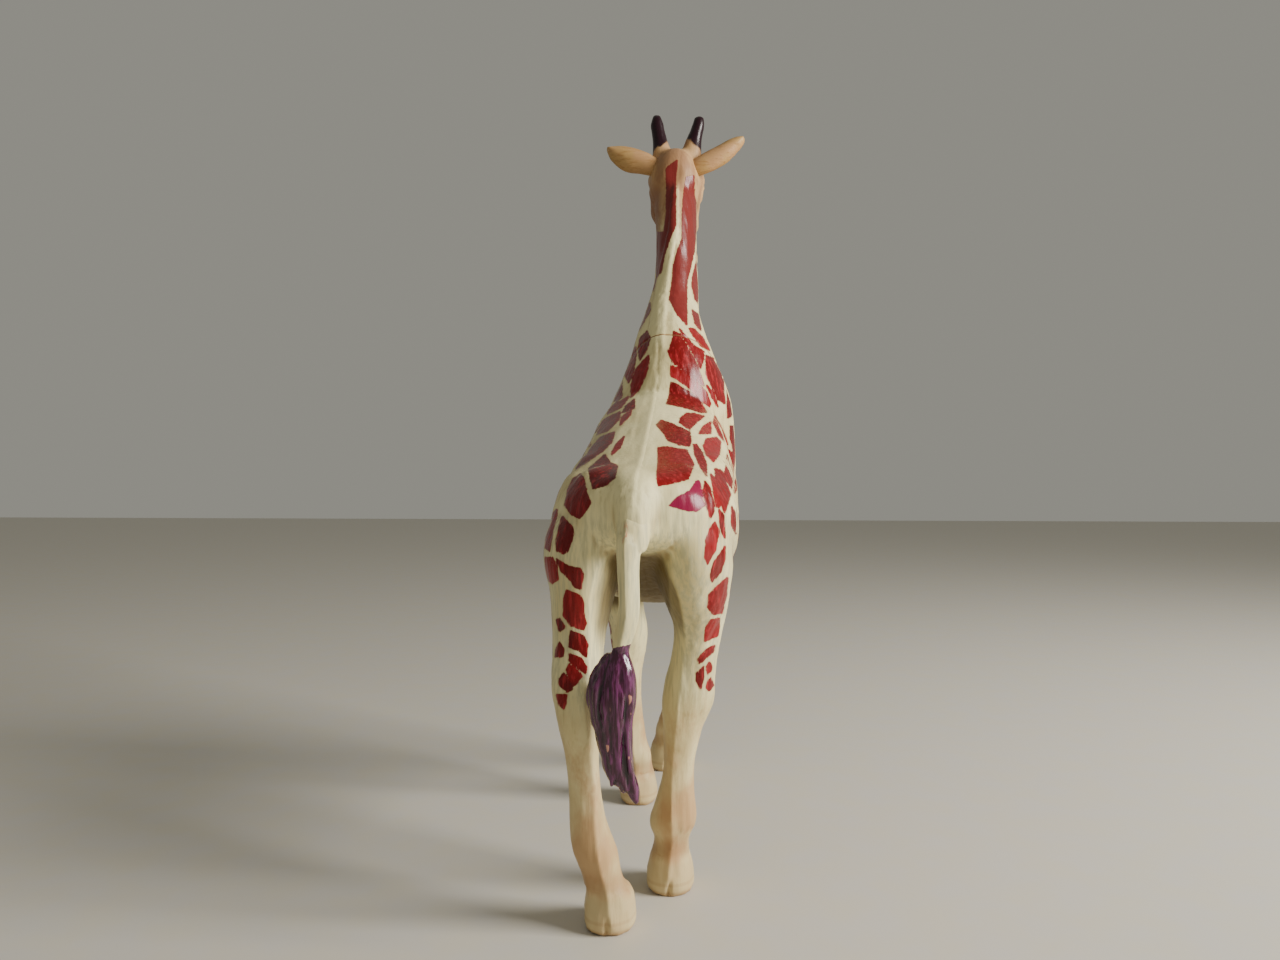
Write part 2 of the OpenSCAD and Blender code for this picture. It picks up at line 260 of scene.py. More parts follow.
neck = {
    # x, y, z, half width, half depth, slope
    "rings": [
        (0, 21, 118, 26, 32, 0), (0.8, 23, 140, 29.5, 38, 8), (2.6, 26, 160, 27.4, 38, 18),
        (4.4, 28.5, 173, 23.6, 36.5, 24), (4.5, 30, 182, 19.9, 34, 27), (4.0, 30, 195.5, 15.4, 27, 27),
        (3.9, 31, 208, 11.6, 20.5, 25), (5.2, 33, 222, 9.5, 16.5, 24), (5.2, 36.5, 242, 8.6, 15, 21),
        (4.8, 40, 257, 9.1, 13.5, 15), (4.8, 42, 267, 8, 11, 8),
    ],
    "seam": (3.5, 30, 182),
    "slope": 27,
    "lean": 2,
    "mane": [(264, 5.4, 1.3), (244, 4.6, 2.0), (230, 1.6, 2.4), (217, 0.2, 2.8), (205, -0.6, 3.2),
             (194, -1, 3.4)],
    "maneHigh": 0.7,
}
head = {
    # x, y, z, half width, half height
    "sections": [
        (4.6, 30.5, 270, 4.5, 5.5), (4.6, 33.5, 270, 8.4, 10.5), (4.2, 40, 269.5, 10.9, 15.2),
        (4.2, 48, 267.5, 11.4, 15.7), (4.8, 58, 261.5, 9.8, 13), (5.2, 70, 254.5, 7.2, 9.6),
        (5.5, 81, 249, 7.3, 7.8), (5.6, 89, 246, 7.4, 6.9), (5.7, 94, 244.6, 5.0, 4.6),
    ],
    "middle": 5.3,
    # half of the mouth line, folded about the middle
    "mouth": [(8.5, 76, 244), (7.6, 86, 242), (4.5, 94, 241.6), (0, 97, 241.6)],
    # horns: out from the middle, y, z and radius
    "leftHorn": [(5.9, 43.6, 271, 5.2), (6.3, 44, 277, 4.8), (6.9, 44.4, 284, 4.2), (7.6, 44.9, 289, 3.5),
                 (8.9, 45.4, 295.5, 2.9), (9.2, 45.6, 299.4, 2.4), (9.3, 45.7, 301.2, 1.4),
                 (9.3, 45.7, 301.9, 0.3)],
    "rightHorn": [(5.5, 43.6, 271, 5.2), (5.6, 44, 277, 4.9), (6.1, 44.4, 284, 4.5), (6.9, 44.9, 289, 3.8),
                  (8.7, 45.4, 295, 3.0), (9.3, 45.6, 298.6, 2.5), (9.4, 45.7, 300.2, 1.5),
                  (9.4, 45.7, 300.9, 0.3)],
    "eye": (10.2, 54, 268.5),
    "eyeRound": 3.0,
}
legs = {
    # x, y, z, half width, half length
    "leftHind": [
        (-13, -66, 141, 9, 16), (-18.9, -66, 120, 13.9, 23), (-19.9, -69, 103, 10.2, 20),
        (-20.3, -75, 89, 8.1, 13.4), (-19.9, -83, 77, 8.0, 8.6), (-19.4, -85, 68, 6.8, 7.8),
        (-18.2, -84.5, 57, 5.5, 6.2), (-17.1, -83.5, 43, 5.3, 5.3), (-16.1, -83, 33, 6.1, 5.7),
        (-14.4, -82, 25.5, 7.1, 6.8), (-12.3, -80.5, 17, 6.1, 6.2), (-10.8, -79, 11.5, 7.0, 7.6),
    ],
    "rightHind": [
        (12.5, -66, 141, 8, 16), (15.0, -65, 120, 13.4, 23), (16.4, -62, 103, 11.2, 19),
        (17.1, -59, 92, 8.4, 14), (16.0, -58, 82, 7.7, 10.5), (14.5, -58, 74, 8.5, 9),
        (13.8, -58, 67, 8.8, 8), (12.1, -57.4, 58.5, 6.9, 6.8), (10.9, -56.4, 48, 5.6, 5.8),
        (10.2, -55.2, 40, 5.6, 5.6), (9.3, -54, 31, 7.0, 6.2), (8.3, -53, 24.5, 8.0, 7),
        (7.9, -50.5, 18, 6.1, 6.2), (7.3, -48.5, 12, 6.9, 7.6),
    ],
    "leftFore": [
        (-15, 30, 160, 7, 13), (-17.5, 30, 140, 11.5, 19), (-19.0, 28, 112, 11.3, 17),
        (-17.5, 27, 92, 8.8, 11), (-14.9, 29, 77, 8.2, 8.8), (-14.8, 30.5, 68, 7.4, 8),
        (-14.8, 32, 56, 5.2, 6), (-14.5, 34, 42, 5.0, 5.3), (-13.8, 36, 30, 5.9, 6),
        (-12.8, 37.5, 22.5, 6.7, 7), (-11.8, 39.5, 16, 6.2, 6.4), (-11.2, 41, 11, 6.8, 7.8),
    ],
    "rightFore": [
        (15, 30, 160, 8, 14), (18.5, 32, 140, 12.5, 20), (18.8, 37, 112, 11.5, 17),
        (15.6, 47, 92, 8.8, 11), (12.6, 56, 77, 8.2, 8.8), (11.4, 60, 68, 7.4, 8),
        (8.6, 65.5, 55, 5.2, 6), (4.8, 73, 42, 5.0, 5.3), (1.6, 79, 30, 5.9, 6), (0, 82, 22.5, 6.7, 7),
        (-1.4, 86, 16, 6.2, 6.4), (-2, 89, 11, 6.8, 7.8),
    ],
    "hooves": {
        "leftHind": (-10.1, -77), "rightHind": (7.2, -47), "leftFore": (-11.6, 42), "rightFore": (-2.4, 91),
    },
    # share of the height, half width, half length and the shift backwards
    "hoof": [(1.1, 6.8, 7.6, 1.9), (0.75, 7.9, 9.0, 1.2), (0.4, 8.2, 10.1, 0.5), (0.16, 8.3, 10.4, 0),
             (0, 7.5, 9.8, 0)],
    "hoofHigh": 12,
    # the parting line down the back of each leg: height and x
    "ridges": {
        "leftHind": [(118, -9), (112, -14), (103, -15.8), (90, -15.6), (75, -16.4), (60, -15.6),
                     (46, -13.9), (36, -13.8), (27, -12.9), (20, -11.9), (12, -9.7), (4, -8.9)],
        "rightHind": [(118, 6.3), (112, 9.1), (106, 11.9), (99, 13.3), (88, 13.8), (79, 12.4), (69, 11),
                      (60, 10.3), (50, 9.1), (40, 8.4), (18, 8.2), (4, 7.0)],
        "leftFore": [(100, -17.5), (77, -14.9), (56, -14.8), (42, -14.5), (22, -12.8), (4, -11.1)],
        "rightFore": [(92, 15.6), (77, 12.6), (55, 8.6), (42, 4.8), (22, 0), (4, -2.4)],
    },
    "ridgeHigh": 0.55,
}
muscles = [
    # middle and radii of the swellings under the skin
    ((-19, -60, 121), (13, 22, 25)), ((15.4, -60, 121), (13, 22, 25)),
    ((-15.5, -42, 133), (14.0, 27, 19)), ((15.5, -42, 133), (14.4, 27, 19)),
    ((-16.5, 30, 138), (11.5, 19, 26)), ((18.5, 30, 140), (12, 19, 28)),
    ((-12, -74, 133), (12, 12, 12)), ((12, -74, 133), (12, 12, 12)),
    ((0, 52, 146), (14, 12, 24)), ((5.3, 56, 255.5), (9.2, 14, 7.5)),
    ((-1.6, 51, 260.5), (5.6, 10, 7)), ((10.2, 51, 260.5), (4.6, 10, 7)),
    ((-3.4, 49, 273), (5, 6, 5)), ((12.4, 49, 273), (5, 6, 5)),
]
creases = [
    # points on the right side, middle x, width and depth of the hollows between muscles
    ([(25, -48, 132), (24, -42, 116), (19, -46, 98)], 0, 3.6, 1.1),
    ([(24, -78, 128), (25, -79, 112), (22, -80, 97)], -2, 2.4, 0.7),
    ([(25, -66, 96), (24, -70, 86)], -2, 2.4, 0.8),
    ([(27, 6, 164), (30, 6, 138), (27, 12, 112)], 0, 4.5, 1.1),
    ([(20, 50, 160), (20, 50, 140), (17, 46, 118)], 0, 3.2, 0.9),
    ([(30, -4, 152), (32, -8, 118)], 0, 2.6, 0.35), ([(31, -13, 150), (33, -17, 116)], 0, 2.6, 0.4),
    ([(32, -22, 148), (33, -26, 116)], 0, 2.6, 0.35),
    ([(17, 40, 196), (12, 44, 215), (10, 48, 246)], 4, 2.8, 0.8),
    ([(20, 32, 176), (14, 34, 206)], 4, 3.0, 0.5),
]
figure = {
    "voxel": 1.28,
    "rounds": 22,
    "hair": 0.13,
    "lumps": 0.28,
    "groove": 0.4,
    "halfSeam": 0.12,
    # strands of hair: width and length
    "fine": (1.3, 8), "coarse": (2.6, 15), "topStrand": (1.6, 9, 6),
}


def seamNormal():
    tilt = math.radians(neck["slope"])
    return np.array((0, math.sin(tilt), math.cos(tilt)))


def leanNormal():
    lean = math.radians(neck["lean"])
    return np.array((math.cos(lean), 0, -math.sin(lean)))


def hoofLoft(at):
    high = legs["hoofHigh"]
    rows = [(at[0], at[1] - back, high * share, a, b, 0, 0) for share, a, b, back in legs["hoof"]]
    return loft(rows, 4, 40, 2.3)


def hornPath(side):
    rows = np.array(head["leftHorn" if side == left else "rightHorn"])
    rows[:, 0] = head["middle"] + side * rows[:, 0]
    return rows


def figureParts():
    parts = [loft([(0, y, (top + low) / 2, half, (top - low) / 2, 90, trunk["egg"])
                   for y, top, low, half in trunk["sections"]], 5, 56, trunk["fullness"])]
    parts.append(sweep(trunk["dock"], 5, 32))
    parts.append(loft([row + (0,) for row in neck["rings"]], 5, 48))
    parts.append(loft([(x, y, z, a, b, 90, 0.0) for x, y, z, a, b in head["sections"]], 4, 36))
    for name, at in legs["hooves"].items():
        parts.append(loft([row + (0, 0) for row in legs[name]], 5, 32))
        parts.append(hoofLoft(at))
    parts += [ball(at, radii, 28) for at, radii in muscles]
    for side in (left, right):
        parts.append(loft([(x, y, z, r, r, 0, 0) for x, y, z, r in hornPath(side)], 4, 24))
    return parts


def maneShare(points):
    # 1 on the upright mane, fading to 0 beside it
    x, y, z = points.T
    rows = np.array(neck["mane"][::-1])
    middle, half = np.interp(z, rows[:, 0], rows[:, 1]), np.interp(z, rows[:, 0], rows[:, 2])
    high = smooth(188, 198, z) * (1 - smooth(262, 268, z))
    return high * (1 - smooth(0.7, 1.25, np.abs(x - middle) / half)) * (y < 42)


def hairNoise(points, normal):
    # strands run down the sides and legs, and along the top of the back
    x, y, z = points.T
    top = smooth(0.55, 0.85, normal[:, 2]) * (z > 120)
    wide, long = figure["fine"]
    down = noise(np.column_stack([x / wide + z * 0.03, y / wide, z / long]), seed)
    wide, long = figure["coarse"]
    down = down + 0.7 * noise(np.column_stack([x / wide, y / wide, z / long]), seed + 1)
    wide, long, high = figure["topStrand"]
    back = noise(np.column_stack([x / wide, y / long, z / high]), seed + 2)
    return down * (1 - top) + back * 0.8 * top


def hoofMarks(points, normal):
    move = 0
    x, y, z = points.T
    for name, (cx, cy) in legs["hooves"].items():
        near = (np.abs(x - cx) < 14) & (np.abs(y - cy) < 16)
        split = swell(x - cx - 0.1 * (z - 2), 0.6) * (1 - smooth(3.5, 7.5, z))
        split = split * smooth(0.4, 0.8, np.abs(normal[:, 1]))
        facet = np.abs(noise(points / 4.5, seed + 14)) * (z < 14)
        move = move - near * (1.1 * split + 0.35 * facet)
    return move


def faceMarks(points, normal):
    x, y, z = points.T
    fromMiddle = np.abs(x - head["middle"])
    ex, ey, ez = head["eye"]
    eye = np.sqrt((fromMiddle - ex + 0.6) ** 2 + (y - ey) ** 2 + ((z - ez) * 1.25) ** 2)
    size = head["eyeRound"]
    move = 1.3 * np.sqrt(np.clip(1 - (eye / size) ** 2, 0, 1))
    move += 0.9 * swell(eye - size - 0.9, 0.8) - 0.5 * swell(eye - size, 0.45)
    folded = np.column_stack([fromMiddle, y, z])
    move -= 1.5 * swell(np.linalg.norm(folded - (4.2, 91.5, 250), axis=1), 1.5)
    move += 0.7 * swell(np.linalg.norm(folded - (5.6, 90.0, 251), axis=1), 1.8)
    move -= swell(toPath(folded, head["mouth"]), 0.6)
    move -= 0.8 * swell(toPath(folded, [(9.5, 60, 262), (8.6, 72, 253)]), 2.6)
    return move * (y > 44) * (z > 232)


def sculpted(points, normal):
    x, y, z = points.T
    rearward = smooth(0.15, 0.7, -normal[:, 1])
    move = figure["hair"] * hairNoise(points, normal) * smooth(8, 16, z) * (1 - smooth(262, 276, z) * 0.7)
    move += figure["lumps"] * noise(points / 9, seed + 3) * smooth(3, 12, z)
    for name, rows in legs["ridges"].items():
        side = left if name.startswith("left") else right
        rows = np.array(rows[::-1], float)
        line = np.interp(z, rows[:, 0], rows[:, 1])
        own = (y < -25) if name.endswith("Hind") else (y > 10)
        own = own & (np.abs(x - line) < 8) & (z < rows[-1, 0] + 3) & ((x * side > -6) | (z < 50))
        fade = smooth(1, 6, z) * (1 - smooth(rows[-1, 0] - 8, rows[-1, 0] + 2, z))
        sharp = np.exp(-np.abs(x - line) / 1.5)
        move += legs["ridgeHigh"] * 1.7 * own * fade * rearward * sharp
    spine = smooth(0.2, 0.8, normal[:, 2]) * (z > 130) * (y < 30)
    move += trunk["ridge"] * spine * np.exp(-np.abs(x - trunk["middle"]) / 4)
    strands = noise(np.column_stack([x / 1.1, y / 1.1, z / 2.4]), seed + 4)
    move += maneShare(points) * neck["maneHigh"] * (0.95 + 0.05 * strands) * smooth(0.1, 0.5, -normal[:, 1])
    for path, middle, width, depth in creases:
        folded = np.column_stack([np.abs(x - middle), y, z])
        move -= depth * swell(toPath(folded, path), width)
    move += hoofMarks(points, normal) + faceMarks(points, normal)
    seam = (points - neck["seam"]) @ seamNormal()
    move -= figure["groove"] * swell(seam, 0.55) * (y > -30) * (z > 150)
    half = np.where(seam < 0, x, (points - neck["seam"]) @ leanNormal())
    move -= figure["halfSeam"] * swell(half, 0.6) * (z > 70)
    out = points + normal * move[:, None]
    out[:, 2] = np.maximum(out[:, 2], 0)
    return out


eye = np.array((25.7, -378.6, 140.0))     # the painter's eye, from which the patches below are laid out
yaw = math.radians(5)
sheet = 340                               # distance from the eye to the flat sheet that they are drawn on
# Outlines of the painted patches: across and up on the sheet.
stencils = {
    "rightSide": [
        [(12, 192.5), (14, 191.5), (16, 188), (17.5, 185.5), (20, 181), (22.5, 173.5), (16.5, 177.5),
         (11.5, 182), (10, 185.5), (11.5, 189)],
        [(11, 180.5), (15, 178.5), (20.5, 174), (23.5, 171), (25, 167), (24.5, 166), (21.5, 168.5),
         (16.5, 173.5), (11, 177)],
        [(11, 174.5), (12.5, 174), (17.5, 171), (21, 168.5), (23.5, 164), (21.5, 164), (15, 166),
         (9.5, 167), (10.5, 170)],
        [(14, 193.5), (16.5, 190.5), (19, 187.5), (22.5, 185.5), (22.5, 183), (21.5, 179.5), (20, 183),
         (18, 186.5), (16, 189.5)],
        [(17.5, 193.5), (19, 193.5), (22, 190.5), (24.5, 186), (21.5, 187.5), (19, 191)],
        [(23.5, 184), (26, 183), (28.5, 180), (29.5, 176), (29.5, 173), (30, 167), (27.5, 168.5), (25, 174),
         (23.5, 177.5)],
        [(23.5, 173.5), (26, 171), (27.5, 166), (26, 168.5)],
        [(31, 174), (32, 171), (33, 164.5), (32, 162.5), (31, 162), (31, 166), (31, 170)],
        [(14.5, 162), (16.5, 163.5), (19, 163.5), (22.5, 162.5), (20, 160.5), (17.5, 158), (14, 160.5)],
        [(21, 156.5), (22.5, 159), (25, 160.5), (25, 156.5)],
        [(6, 159.5), (7.5, 161), (12, 159.5), (17.5, 157), (18, 154), (17.5, 152), (14, 152.5), (10, 154),
         (8.5, 156.5)],
        [(6.5, 151.5), (10.5, 151.5), (16.5, 150.5), (19, 145.5), (17, 140.5), (12, 139), (6.5, 138),
         (6, 142), (6.5, 146.5)],
        [(23.5, 154.5), (27, 155), (28.5, 153.5), (28, 149), (26, 146.5), (23.5, 149), (22.5, 152)],
        [(19, 152.5), (20, 152.5), (22, 149.5), (23.5, 145.5), (23.5, 141.5), (21.5, 144.5), (19.5, 149)],
        [(26.5, 162.5), (28.5, 159), (30, 155.5), (31, 152.5), (28, 156), (26, 160.5)],
        [(32, 159), (33.5, 159), (34.5, 154), (34.5, 149), (34, 144.5), (33.5, 145), (33, 151), (32, 155)],
        [(26.5, 144), (28.5, 143.5), (30, 142), (31, 149), (31.5, 150.5), (33, 149), (33, 143.5), (32, 135),
         (30, 128.5), (28, 133.5), (27, 139.5)],
        [(25, 142), (26.5, 140.5), (29, 131), (27, 130.5), (26, 136.5)],
        [(23, 139.5), (24.5, 137.5), (26, 131.5), (26, 129), (25, 126.5), (23.5, 131), (22.5, 135.5)],
        [(33.5, 141), (34.5, 142), (34.5, 138), (33.5, 135.5)],
        [(28, 129.5), (29.5, 127.5), (30, 119.5), (28.5, 123)],
        [(32.5, 130.5), (33.5, 128.5), (34, 121), (32.5, 124)],
        [(26.5, 125), (28, 122), (26.5, 115), (24, 110.5), (23, 112.5), (23.5, 119), (25, 123)],
        [(30, 116.5), (30, 112), (28.5, 107.5), (25.5, 104), (25, 106), (26, 110.5), (28.5, 114)],
        [(31, 105.5), (30.5, 99.5), (29, 93), (26, 92.5), (24, 95), (24.5, 99.5), (27, 102)],
        [(28, 91), (28, 88), (27.5, 85), (23, 83), (23, 85), (23.5, 88), (25, 90.5)],
        [(26.5, 81.5), (26, 79.5), (21, 75), (20.5, 76.5), (23.5, 80)],
        [(24.5, 75.5), (25.5, 74), (25, 72.5), (24, 71.5), (23.5, 74)],
        [(22.5, 74), (22.5, 70), (21.5, 66), (20, 69), (20, 71.5)],
        [(25, 70), (26, 67.5), (24.5, 65.5), (23.5, 66.5), (24, 68.5)],
    ],
    "plum": [
        [(20, 139.5), (21, 139.5), (22.5, 131), (20, 129), (16, 129.5), (10.5, 131), (13, 133.5),
         (17.5, 136), (19, 138)],
    ],
    "leftSide": [
        [(2.5, 192.5), (3.5, 190), (2.5, 186.5), (0, 182.5), (-0.5, 185.5), (0, 190)],
        [(-1.5, 187), (-1.5, 184), (-2.5, 177.5), (-4, 174.5), (-5.5, 177.5), (-5, 182.5)],
        [(3, 184), (3, 181), (2, 177), (-0.5, 172), (-3, 169.5), (-3, 174), (-1.5, 179), (1.5, 182.5)],
        [(-6.5, 177.5), (-6.5, 169.5), (-9, 167), (-10, 168.5), (-8.5, 174)],
        [(-4, 169.5), (-6.5, 166), (-11.5, 163.5), (-10, 166)],
        [(-2, 168.5), (-2, 165.5), (-6, 164), (-5, 166)],
        [(-7, 164), (-7.5, 161.5), (-11.5, 157.5), (-16, 156), (-15.5, 159), (-11.5, 162)],
        [(-3, 165), (-3.5, 163), (-7, 159.5), (-6.5, 162)],
        [(-9, 157), (-10, 153.5), (-13, 150.5), (-21, 145), (-22.5, 144), (-20, 148), (-17.5, 151),
         (-14, 155)],
        [(-5.5, 155.5), (-7, 151.5), (-10, 149), (-8.5, 152.5)],
        [(-12.5, 149), (-10.5, 146), (-8, 145), (-9, 141), (-11.5, 138.5), (-16.5, 137), (-17.5, 140.5),
         (-18, 144), (-15, 146.5)],
        [(-21, 142), (-20, 140.5), (-19, 135.5), (-17.5, 132), (-19.5, 128.5), (-21.5, 126.5), (-24.5, 128),
         (-26.5, 131), (-25.5, 136.5), (-23.5, 140.5)],
        [(-17.5, 152.5), (-20.5, 149), (-24.5, 144), (-26, 143), (-22.5, 148.5)],
        [(-27.5, 127), (-24, 123.5), (-23.5, 121.5), (-24.5, 118), (-25.5, 115), (-27, 114), (-29.5, 115),
         (-29.5, 119), (-28.5, 123.5)],
        [(-29.5, 129.5), (-29.5, 127.5), (-31, 122), (-32, 115), (-34, 116.5), (-33.5, 122), (-32, 127)],
        [(-31, 112.5), (-29.5, 109.5), (-29, 105), (-31, 103.5), (-33, 105), (-34, 109), (-33.5, 112.5)],
        [(-29.5, 112), (-25.5, 109.5), (-21, 108.5), (-20, 106.5), (-21, 101.5), (-23, 102), (-24.5, 104.5),
         (-28, 108)],
        [(-26, 101), (-21, 99), (-20, 96.5), (-20, 92.5), (-19, 89.5), (-20, 87), (-24.5, 88.5), (-27, 92),
         (-27, 97.5)],
        [(-24.5, 86.5), (-20, 85), (-18.5, 81.5), (-19, 77.5), (-21.5, 79.5), (-25, 81)],
        [(-25, 78.5), (-21, 77), (-19, 74), (-19, 71.5), (-21.5, 73), (-25, 76)],
        [(-25, 75), (-21, 71.5), (-20.5, 70.5), (-23, 67.5), (-25, 70), (-26, 73)],
        [(-27, 71.5), (-24, 67.5), (-24, 66), (-25.5, 65), (-28.5, 67.5), (-28.5, 69.5)],
        [(-29.5, 64), (-26, 64), (-26.5, 60.5), (-27, 59), (-28.5, 60.5)],
        [(-28.5, 91), (-26.5, 88), (-28.5, 86.5), (-29.5, 90.5)],
        [(-28.5, 82.5), (-27, 80), (-27.5, 77.5), (-30, 77.5), (-29.5, 80.5)],
    ],
    "neckBack": [
        [(9.5, 250.5), (11, 251.5), (13, 253), (12.5, 244), (12.5, 234.5), (12.5, 230), (10.5, 225.5),
         (8.5, 219.5), (7.5, 214), (6, 212), (6.5, 219.5), (8.5, 226.5), (9.5, 235.5), (9.5, 244)],
        [(6, 227.5), (8, 227.5), (7.5, 220.5), (6.5, 215), (4.5, 207), (3, 207), (4, 215)],
        [(16.5, 247), (19, 247.5), (19, 241), (20, 236.5), (20, 229.5), (19, 220.5), (17.5, 214),
         (16.5, 210.5), (16.5, 204), (16.5, 198.5), (16.5, 195), (13, 199), (10.5, 204), (11.5, 210.5),
         (12, 216), (13.5, 221.5), (15, 225.5), (15, 232.5), (15.5, 241)],
        [(20.5, 225.5), (22, 215), (22, 201), (19.5, 204), (18.5, 208.5), (18.5, 211), (20, 217)],
        [(18.5, 200), (20.5, 198.5), (21.5, 193), (19.5, 195.5)],
        [(3.5, 202.5), (3.5, 200), (-0.5, 193), (-2, 195), (1.5, 201)],
    ],
}
patches = {
    "grow": 0.35,         # the strokes spread past their outlines
    "toneStep": 0.618,    # spreads the shades of red evenly
    "gap": 1.7,            # cream line between the patches that the stencils don't reach
    "turn": 0.08,          # how far round the surface turns away before they take over
    "trunk": 13.5,         # spacing of those patches on trunk, neck and legs
    "neck": 10.5,
    "leg": 8.0,
}


def onSheet(points):
    ahead = np.array((-math.sin(yaw), math.cos(yaw), 0))
    across = np.array((math.cos(yaw), math.sin(yaw), 0))
    offset = points - eye
    deep = offset @ ahead
    return offset @ across * sheet / deep, eye[2] + offset[:, 2] * sheet / deep


def outlineDistance(u, w, corners):
    # negative inside
    p = np.column_stack([u, w])
    corners = np.array(corners, float)
    best, inside = np.full(len(u), 1e9), np.zeros(len(u), bool)
    for a, b in zip(corners, np.roll(corners, -1, axis=0)):
        d = b - a
        t = np.clip((p - a) @ d / (d @ d), 0, 1)
        best = np.minimum(best, np.hypot(*(p - a - t[:, None] * d).T))
        if a[1] != b[1]:
            inside ^= ((a[1] > w) != (b[1] > w)) & (u < (b[0] - a[0]) * (w - a[1]) / (b[1] - a[1]) + a[0])
    return np.where(inside, -best, best)


def stencilField(points):
    u, w = onSheet(points)
    field, tone, plum = np.full(len(u), 9.0), np.zeros(len(u)), np.zeros(len(u))
    number = 0
    for group, outlines in stencils.items():
        for corners in outlines:
            number += 1
            low, high = np.min(corners, axis=0) - 2, np.max(corners, axis=0) + 2
            near = np.flatnonzero((u > low[0]) & (u < high[0]) & (w > low[1]) & (w < high[1]))
            distance = outlineDistance(u[near], w[near], corners)
            mine = near[distance < field[near]]
            field[mine] = distance[distance < field[near]]
            tone[mine] = (number * patches["toneStep"]) % 1
            plum[mine] = group == "plum"
    return field, tone, plum


def spacing(points):
    y, z = points[:, 1], points[:, 2]
    size = patches["leg"] + (patches["trunk"] - patches["leg"]) * smooth(85, 125, z)
    return size + (patches["neck"] - patches["trunk"]) * smooth(190, 215, z)


def seedPoints(points, allowed):
    pick = np.random.default_rng(seed)
    tries = pick.permutation(np.flatnonzero(allowed))[:9000]
    spots, sizes = np.empty((0, 3)), np.empty(0)
    for p, size in zip(points[tries], spacing(points[tries])):
        if not len(spots) or np.min(np.linalg.norm(spots - p, axis=1) / np.minimum(sizes, size)) > 0.82:
            spots, sizes = np.vstack([spots, p]), np.append(sizes, size)
    return spots, sizes


def cellField(points, allowed):
    spots, sizes = seedPoints(points, allowed)
    field, tone = np.full(len(points), 9.0), np.zeros(len(points))
    where = np.flatnonzero(allowed)
    for chunk in np.array_split(where, max(1, len(where) // 20000)):
        wobble = np.column_stack([noise(points[chunk] / 5, seed + k) for k in (5, 6, 7)])
        p = points[chunk] + wobble * 0.9
        reach = np.linalg.norm(p[:, None] - spots[None], axis=2) / sizes
        nearest = np.argpartition(reach, 1, axis=1)[:, :2]
        first, second = np.take_along_axis(reach, nearest, axis=1).T
        field[chunk] = patches["gap"] / 2 - np.abs(second - first) * sizes[nearest].mean(axis=1) / 2
        closest = np.argmin(np.take_along_axis(reach, nearest, 1), 1)
        tone[chunk] = (nearest[np.arange(len(p)), closest] * patches["toneStep"]) % 1
    return field, tone


def patchFields(points, normal):
    x, y, z = points.T
    toEye = eye - points
    seen = (normal * toEye).sum(1) / np.linalg.norm(toEye, axis=1)
    side = np.sign(x - np.where(z > 190, 4, 0))
    behind = (z < 112) & (y > -20)      # forelegs and belly, which the stencils don't reach
    stencil, stencilTone, plum = stencilField(points)
    stencil = stencil - patches["grow"]
    turn = (seen - patches["turn"]) * 24
    turn = np.where(behind, -9, turn)
    outward = normal[:, 0] * side
    bare = np.maximum.reduce([
        np.where(z < 125, (-normal[:, 2] - 0.45) * 12, -9),                   # belly and under the tail
        np.where(z < 108, (0.15 + 0.7 * (y > -20) - outward) * 9, -9),        # inside the legs
        np.where(y < -20, 68, 62) - z,                                        # below hocks and knees
        np.where(y < 30, 3.2 - np.abs(x - trunk["middle"]), -9),              # the spine
        (z - 250) * 0.5 + (y - 46) * 0.4,                                     # the face
    ])
    allowed = (turn < 1) & (bare < 2)
    cells, cellTone = cellField(points, allowed)
    cells = np.maximum.reduce([cells, turn + patches["gap"] / 2, bare])
    stencil = np.maximum(stencil, np.where(behind, 9, patches["gap"] / 4 - turn))
    stencil = np.maximum(stencil, np.where(z > 235, (y - 45) * 0.5, -9))
    first = stencil < cells
    return np.minimum(stencil, cells), np.where(first, stencilTone, cellTone), plum * first


def hornShare(points):
    x, y, z = points.T
    share = 0
    for side in (left, right):
        share = np.maximum(share, 1 - smooth(5, 6.5, toPath(points, hornPath(side)[2:, :3])))
    outer = np.abs(x - head["middle"]) - 7
    ragged = 286.6 + 1.2 * noise(points / 1.8, seed + 8) - 0.9 * outer
    return share * smooth(-0.5, 0.5, z - ragged)


def faceShares(points):
    x, y, z = points.T
    fromMiddle = np.abs(x - head["middle"])
    ex, ey, ez = head["eye"]
    eyeball = 1 - smooth(0.82, 1.0, np.sqrt((fromMiddle - ex + 0.6) ** 2 + (y - ey) ** 2
                                           + ((z - ez) * 1.35) ** 2) / head["eyeRound"])
    folded = np.column_stack([fromMiddle, y, z])
    nostril = swell(np.linalg.norm(folded - (4.2, 92.0, 250), axis=1), 1.4)
    mouth = swell(toPath(folded, head["mouth"]), 0.55)
    return eyeball * (y > 44), np.clip(nostril + mouth, 0, 1) * (y > 60) * (z > 230)


def bellyShadeShare(points, normal):
    # painted shade: 1 under the belly and between the thighs
    x, y, z = points.T
    aside = np.abs(x + 1)
    under = smooth(-0.05, 0.3, -normal[:, 2]) * smooth(84, 90, z) * (1 - smooth(116, 122, z))
    under = under * (1 - smooth(9, 12, aside) * (1 - smooth(-46, -38, y)))
    between = smooth(0.35, 0.7, -normal[:, 0] * np.sign(x + 1))
    between = between * smooth(86, 96, z) * (1 - smooth(116, 123, z))
    return np.maximum(under, 0.8 * between * (1 - smooth(14, 18, aside))) * smooth(-88, -80, y)


def maneAndSpineSheen(points, normal):
    # the mane stripe's own paler cream, and a painted highlight on the upward faces along the spine
    x, y, z = points.T
    spine = np.exp(-((x - trunk["middle"]) / 6) ** 2) * smooth(0.3, 0.8, normal[:, 2])
    spine = spine * smooth(126, 136, z) * (y < 20)
    return np.maximum(spine, maneShare(points))


